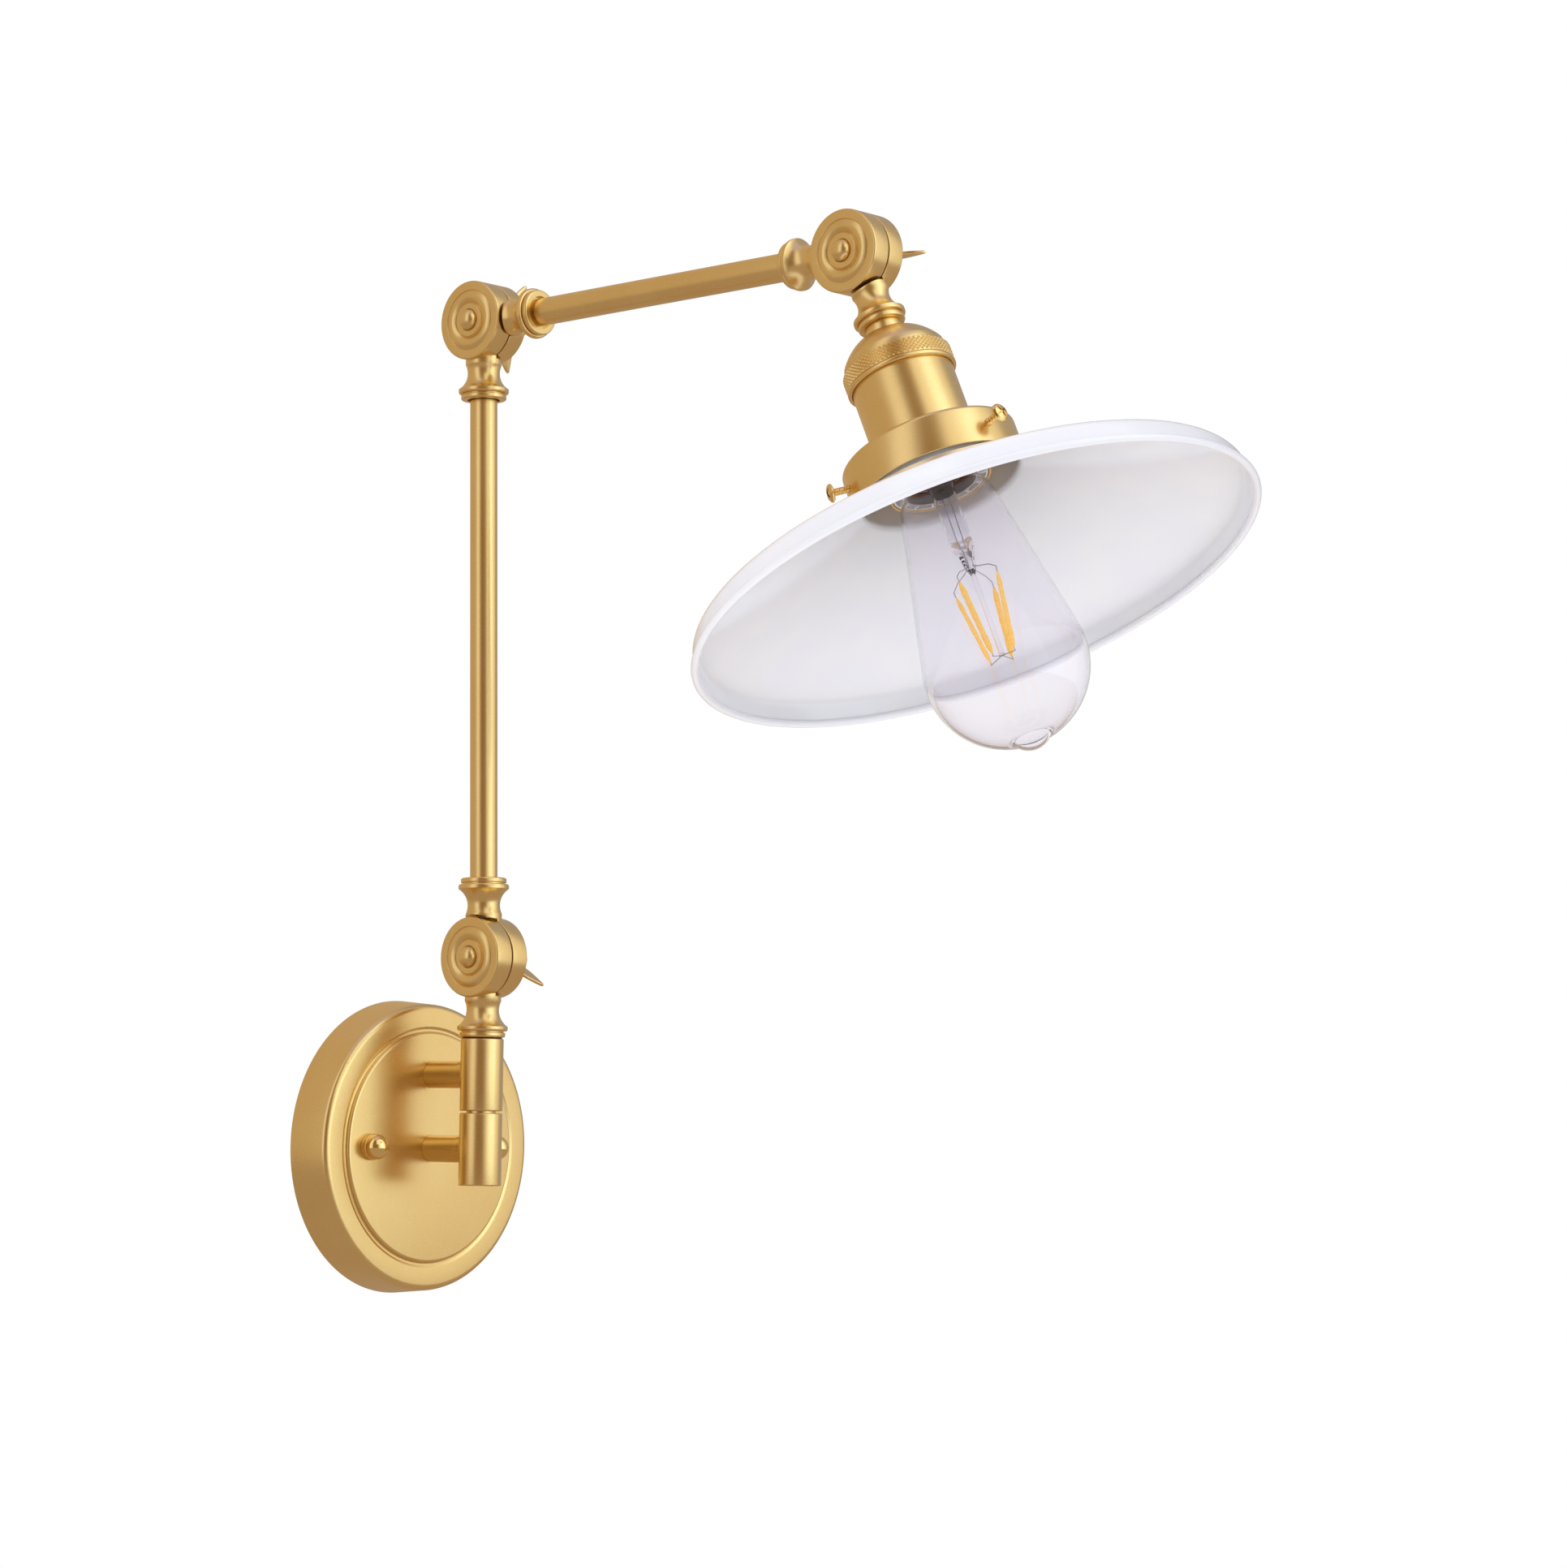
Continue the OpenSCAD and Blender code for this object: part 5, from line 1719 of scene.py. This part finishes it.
@dataclass
class Bulb:
    """The filament bulb, with everything inside it."""

    bench: Bench
    patterns: Patterns
    place: Place
    start: float = 66.0
    length: float = 147.5
    radius: float = 31.3
    slope: float = 11.0
    base_r: float = 13.0
    base_l: float = 27.0
    skin: float = 0.9
    pip_r: float = 8.9
    pip_base: float = 7.5
    pip_h: float = 3.2
    strip_l: float = 29.9
    strip_top: float = 10.5
    strip_foot: float = 6.0
    strip_start: float = 6.9
    strip_count: int = 4
    tip_h: float = 5.2
    grip: float = 3.0
    pinch_share: float = 1.3
    neck_rise: float = 11.96
    pip_sink: float = 1.05

    def build(self) -> None:
        """Makes the bulb from its contact to its pip."""
        self.base_s = self.start + self.tip_h
        self.foot_s = self.base_s + self.base_l - self.grip
        self.end = self.start + self.length
        self.globe_s = self.end - self.pip_h - self.radius
        self.pinch_s = self.globe_s - self.pinch_share * self.radius
        drop = math.sqrt(self.strip_l**2 - (self.strip_top - self.strip_foot) ** 2)
        self.top = Vector((self.strip_top, 0, self.pinch_s + self.strip_start))
        self.foot = Vector((self.strip_foot, 0, self.top.z + drop))
        put = self.bench.set_down
        put("bulb_glass", self.glass(), self.place, GLASS)
        put("bulb_base", self.base(), self.place, NICKEL)
        put("bulb_insulator", self.insulator(), self.place, VITRITE)
        contact = Outline().to(0, self.start).to(3.0, self.start, 0.6)
        contact.to(4.4, self.start + 1.2).to(0, self.start + 1.2)
        put("bulb_contact", lathe(contact, 48, closed=False), self.place, NICKEL)
        put("bulb_stem", self.stem(), self.place, GLASS)
        put("bulb_filaments", self.strips(), self.place, FILAMENT)
        put("bulb_wires", self.wires(), self.place, STEEL)

    def envelope(self, inset: float) -> Outline:
        """The glass's outer line, or its inner one set in from it, from the foot to the axis.

        Args:
            inset: how far inside the outer face.
        Returns:
            The line, from its foot to the globe's end.
        """
        rad = math.radians(self.slope)
        radius = self.radius - inset
        tangent = (radius * math.cos(rad), self.globe_s - radius * math.sin(rad))
        neck_s = self.foot_s + self.neck_rise
        neck_r = tangent[0] - (tangent[1] - neck_s) * math.tan(rad)
        foot_r = self.base_r - 0.8 - inset
        shape = Outline().to(0, self.foot_s + inset).to(foot_r, self.foot_s + inset, 0.2)
        shape.to(foot_r, self.foot_s + 6.2, 5.0).to(neck_r, neck_s, 12.0)
        shape.bow((0, self.globe_s), radius, -self.slope, 73 if inset else 74, 40)
        return shape

    def glass(self) -> bpy.types.Mesh:
        """The blown envelope: an outer wall with its pip, and the wall of the hollow.

        Returns:
            The mesh, in millimetres.
        """
        outer = self.envelope(0.0)
        edge = self.globe_s + self.radius - self.pip_sink
        low = math.degrees(math.acos(self.pip_base / self.pip_r))
        outer.to(self.pip_base + 0.9, edge, 1.2)
        outer.bow((0, self.end - self.pip_r), self.pip_r, low, 89, 16).to(0, self.end)
        inner = self.envelope(self.skin)
        inner.to(self.pip_base + 0.3, edge - self.skin, 1.2)
        inner.bow((0, self.end - self.pip_r), self.pip_r - self.skin, low, 89, 12)
        inner.to(0, self.end - self.skin)
        return together(lathe(outer, 160, closed=False),
                        lathe(inner, 160, closed=False, inside_out=True))

    def base(self) -> bpy.types.Mesh:
        """The screw base, with its rolled thread.

        Returns:
            The mesh, in millimetres.
        """
        r, low = self.base_r, self.base_s
        shape = Outline().to(9, low, 0.2).to(r - 0.8, low + 2.4, 0.5)
        shape.to(r - 0.8, low + self.base_l - 3, 0.4)
        shape.to(r, low + self.base_l - 2.6, 0.3).to(r, low + self.base_l, 0.15)
        shape.to(r - 0.7, low + self.base_l, 0.15).to(r - 0.7, low + self.base_l - 2.4)
        shape.to(r - 1.2, low + self.base_l - 3).to(r - 1.2, low + 2.7, 0.3).to(9, low + 0.5)
        thread = self.patterns.ridge(NICKEL, r - 0.95, 3.6, low + 3.4, low + self.base_l - 5.0, 0.9)
        return together(lathe(shape, 128), thread)

    def insulator(self) -> bpy.types.Mesh:
        """The black glass cone between base and contact.

        Returns:
            The mesh, in millimetres.
        """
        low = self.base_s - 4
        shape = Outline().to(0, low).to(5, low, 0.5).to(8.9, self.base_s, 0.3).to(0, self.base_s)
        return lathe(shape, 96, closed=False)

    def stem(self) -> bpy.types.Mesh:
        """The glass stem: a thin wide tube, the flat pinch, and the rod that carries the strips.

        Returns:
            The mesh, in millimetres.
        """
        low, pinch = self.foot_s + 1.0, self.pinch_s
        neck = Outline().to(7.3, low, 0.2).to(8.0, low, 0.3).to(4.6, low + 9, 5.0)
        neck.to(4.3, pinch - 9, 3.0).to(2.6, pinch - 4, 1.5).to(2.4, pinch - 1, 0.8)
        neck.to(1.0, pinch + 2.5, 1.0).to(1.0, self.foot.z - 0.6, 0.3).to(1.5, self.foot.z, 0.4)
        neck.to(0, self.foot.z + 0.2).to(0, pinch - 8).to(1.6, pinch - 9, 1.0)
        neck.to(3.6, pinch - 12, 2.0).to(3.9, low + 9, 5.0)

        def squash(angle: float, r: float, s: float) -> float:
            """Flattens the pinch across one direction."""
            near = max(0.0, 1 - abs(s - (pinch - 2.5)) / 5.0)
            return r * (1 + 0.3 * near * math.cos(2 * angle))

        return lathe(neck, 64, swell=squash)

    def strips(self) -> bpy.types.Mesh:
        """Four coated strips in a narrowing cone.

        Returns:
            The mesh, in millimetres.
        """
        count, sides = 30, 12
        bm = bmesh.new()
        rows = []
        for i in range(count + 1):
            t = i / count
            end = min(1.0, 0.35 + 6.0 * min(t, 1 - t))
            swell = end * (1 + 0.05 * math.sin(17 * t) + 0.04 * math.sin(41 * t + 1))
            rows.append([bm.verts.new(self.top.lerp(self.foot, t)
                                      + Vector((0.75 * math.cos(a), 1.25 * math.sin(a), 0)) * swell)
                         for a in (math.tau * k / sides for k in range(sides))])
        return self.patterns.round_axis(skinned(bm, rows), FILAMENT, self.strip_count)

    def wires(self) -> bpy.types.Mesh:
        """Thin wires: spokes from the pinch, hooks to the strips, and spokes at their feet.

        Returns:
            The mesh, in millimetres.
        """
        pinch, top, foot = self.pinch_s, self.top, self.foot
        hook = top + Vector((0.3, 0, -2.4))
        spoke = [Vector((1.0, 0, pinch - 1.0)), Vector((3.2, 0, pinch + 0.4)),
                 Vector((8.0, 0, pinch + 2.2)), hook]
        drop = [hook, top + Vector((0, 0, 0.6))]
        low = [Vector((0.9, 0, foot.z + 0.1)), Vector((3.0, 0, foot.z + 0.5)), foot + Vector((0.3, 0, 1.0))]
        catch = [foot + Vector((-0.1, 0, -0.5)), foot + Vector((0.15, 0, 1.1))]
        one = together(wire(spoke, 0.17), wire(drop, 0.2), wire(low, 0.17), wire(catch, 0.2))
        supply = [wire([Vector((x, 0.3, self.foot_s + 10)), Vector((x * 0.9, -0.2, pinch - 12)),
                        Vector((x * 0.45, 0, pinch - 7)), Vector((x * 0.4, 0, pinch - 1))], 0.22)
                  for x in (-2.4, 2.4)]
        return together(self.patterns.round_axis(one, STEEL, self.strip_count), *supply)


# The studio


@dataclass(frozen=True)
class Panel:
    """A soft bright or dark part of the studio's walls.

    Its limits are in degrees: sideways from the point behind the camera, positive towards the
    camera's right, and up from the horizon.
    """

    sides: Point
    heights: Point
    colour: Colour
    soft: float = 7.0

    def mask(self, side: Signal, height: Signal) -> Signal:
        """Is 1 on the panel and fades round it."""
        return side.between(*self.sides, self.soft) * height.between(*self.heights, self.soft)


class Surround(Wiring):
    """The studio's walls as the world's nodes, with plain white where the camera looks."""

    OVERHEAD: Point = (20.0, 65.0)

    def __init__(self) -> None:
        """Makes the world."""
        world = bpy.data.worlds.new("studio")
        world.use_nodes = True
        bpy.context.scene.world = world
        super().__init__(world.node_tree)

    def along(self, way: bpy.types.NodeSocket, axis: Colour) -> Signal:
        """How far a direction goes along an axis."""
        node = self.add("ShaderNodeVectorMath", {"operation": "DOT_PRODUCT"}, {0: way, 1: axis})
        return Signal(self, node.outputs["Value"])

    def paint(self, yaw: float, wall: Colour, panels: Sequence[Panel], glow: Sequence[Colour]) -> None:
        """Lays the panels over the plain wall.

        Args:
            yaw: the camera's turn from +Y, in degrees.
            wall: the colour that gloss mirrors between the panels.
            panels: what gloss mirrors on the wall, one laid over the other.
            glow: the soft light on matt surfaces, from the camera's left, its right and above.
        """
        sin, cos = math.sin(math.radians(yaw)), math.cos(math.radians(yaw))
        way = self.add("ShaderNodeTexCoord").outputs["Generated"]
        right, behind = self.along(way, (cos, sin, 0)), self.along(way, (sin, -cos, 0))
        side = self.maths("ARCTAN2", right, behind) * math.degrees(1)
        height = self.maths("ARCSINE", self.along(way, (0, 0, 1))) * math.degrees(1)
        mirrored: Any = wall
        for panel in panels:
            mirrored = self.blend(panel.mask(side, height), mirrored, panel.colour)
        path = self.add("ShaderNodeLightPath")
        level = self.blend(right.above(-1.0, 1.0), glow[0], glow[1])
        soft = self.blend(height.above(*self.OVERHEAD), level, glow[2])
        colour = self.blend(path.outputs["Is Diffuse Ray"], mirrored, soft)
        seen = self.maths("MAXIMUM", path.outputs["Is Camera Ray"], path.outputs["Is Transmission Ray"])
        self.feed(self.tree.nodes["Background"], "Color", self.blend(seen, colour, (1.0, 1.0, 1.0)))


@dataclass
class Studio:
    """The camera of the photograph, a pale floor, and the walls that light the lamp."""

    focal_px: float = 5500.0
    image_px: float = 1932.0
    at: tuple[float, float, float] = (-1.31227, -1.31123, 0.01254)
    yaw: float = -49.901
    pitch: float = 4.322
    roll: float = 0.8
    floor_z: float = -1.5
    floor_r: float = 9.0
    floor_glow: float = 0.14
    floor_mirrored: Colour = (0.44, 0.34, 0.27)
    wall: Colour = (0.42, 0.39, 0.42)
    glow: tuple[Colour, ...] = ((0.80, 0.82, 0.90), (0.66, 0.68, 0.76), (1.55, 1.48, 1.48))
    panels: tuple[Panel, ...] = (
        Panel((-400, -62), (-95, 95), (0.57, 0.45, 0.32)),
        Panel((-60, -30), (-95, 95), (1.02, 0.98, 0.96)),
        Panel((-27, 20), (-95, 60), (0.27, 0.165, 0.075)),
        Panel((27, 112), (-35, 66), (0.95, 0.90, 0.84)),
        Panel((8, 50), (24, 66), (1.1, 1.06, 0.98)),
        Panel((44, 84), (-25, 64), (1.45, 1.65, 1.75), 10.0),
        Panel((-400, 400), (66, 110), (0.60, 0.55, 0.85)),
    )

    def build(self) -> None:
        """Sets up the whole studio."""
        self.place_camera()
        self.lay_floor()
        Surround().paint(self.yaw, self.wall, self.panels, self.glow)
        bpy.context.scene.view_settings.view_transform = "Standard"

    def place_camera(self) -> None:
        """Stands the camera where the photograph was taken."""
        data = bpy.data.cameras.new("camera")
        data.sensor_width = 36.0
        data.lens = 36.0 * self.focal_px / self.image_px
        data.clip_start, data.clip_end = 0.05, 60.0
        camera = bpy.data.objects.new("camera", data)
        bpy.context.scene.collection.objects.link(camera)
        yaw, pitch = math.radians(self.yaw), math.radians(self.pitch)
        ahead = Vector((-math.sin(yaw) * math.cos(pitch), math.cos(yaw) * math.cos(pitch), math.sin(pitch)))
        right = Vector((math.cos(yaw), math.sin(yaw), 0))
        up = right.cross(ahead)
        roll = math.radians(self.roll)
        x = right * math.cos(roll) + up * math.sin(roll)
        y = up * math.cos(roll) - right * math.sin(roll)
        turned = Matrix((x, y, -ahead)).transposed().to_4x4()
        camera.matrix_world = Matrix.Translation(self.at) @ turned
        bpy.context.scene.camera = camera

    def lay_floor(self) -> None:
        """Lays a round pale floor, far below the lamp, that gloss mirrors as a darker one."""
        bm = bmesh.new()
        bmesh.ops.create_circle(bm, cap_ends=True, segments=96, radius=self.floor_r)
        bm.transform(Matrix.Translation((0, 0, self.floor_z)))
        mesh = bpy.data.meshes.new("floor")
        bm.to_mesh(mesh)
        bm.free()
        shader = Shader("pale_floor")
        speckle = shader.noise(6.0, 2.0)
        tone = shader.blend(speckle.above(0.3, 0.7), (0.88, 0.88, 0.89), (0.91, 0.91, 0.92))
        shader.set(Base_Color=tone, Roughness=0.8, Emission_Color=(0.97, 0.98, 1.0))
        shader.surface.inputs["Emission Strength"].default_value = self.floor_glow
        path = shader.add("ShaderNodeLightPath")
        dim = shader.add("ShaderNodeEmission", None, {"Color": self.floor_mirrored})
        both = shader.add("ShaderNodeMixShader", None, {
            0: path.outputs["Is Glossy Ray"], 1: shader.surface.outputs[0], 2: dim.outputs[0]})
        shader.feed(shader.tree.nodes["Material Output"], "Surface", both.outputs[0])
        mesh.materials.append(shader.material)
        floor = bpy.data.objects.new("floor", mesh)
        bpy.context.scene.collection.objects.link(floor)


def main() -> None:
    """Builds the lamp in its frame."""
    logging.basicConfig(level=logging.INFO, format="%(name)s %(message)s")
    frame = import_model()
    bench = Bench(frame)
    patterns = Patterns()
    Studio().build()

    base, elbow, head = (bench.pivot(name) for name in ("base_tilt", "elbow", "head_tilt"))
    axis = Vector(bench.joint("bulb_turn")["axis"])
    lower, upper = (elbow - base).normalized(), (head - elbow).normalized()
    lamp = Place(head, axis)

    WallPlate(bench, patterns).build()
    SwivelPost(bench).build()
    Knuckle(bench, patterns, "base", base, "base_knuckle_lower", Vector((0, 0, -1)),
            "base_knuckle_upper", lower, wing_angle=126.0).build()
    Knuckle(bench, patterns, "elbow", elbow, "elbow_knuckle_lower", -lower,
            "elbow_knuckle_upper", upper, wing_angle=195.0).build()
    Knuckle(bench, patterns, "head", head, "head_knuckle_arm", -upper,
            "head_knuckle_lamp", axis, wing_angle=84.0, nut_seat_r=4.9).build()
    Arm(bench, "lower_arm", base, elbow).build()
    Arm(bench, "upper_arm", elbow, head).build()
    LampHolder(bench, patterns, lamp).build()
    ShadeGroup(bench, patterns, lamp).build()
    Bulb(bench, patterns, lamp).build()
    LOG.info("%d pieces", len(bench.done))


if __name__ == "__main__":
    main()
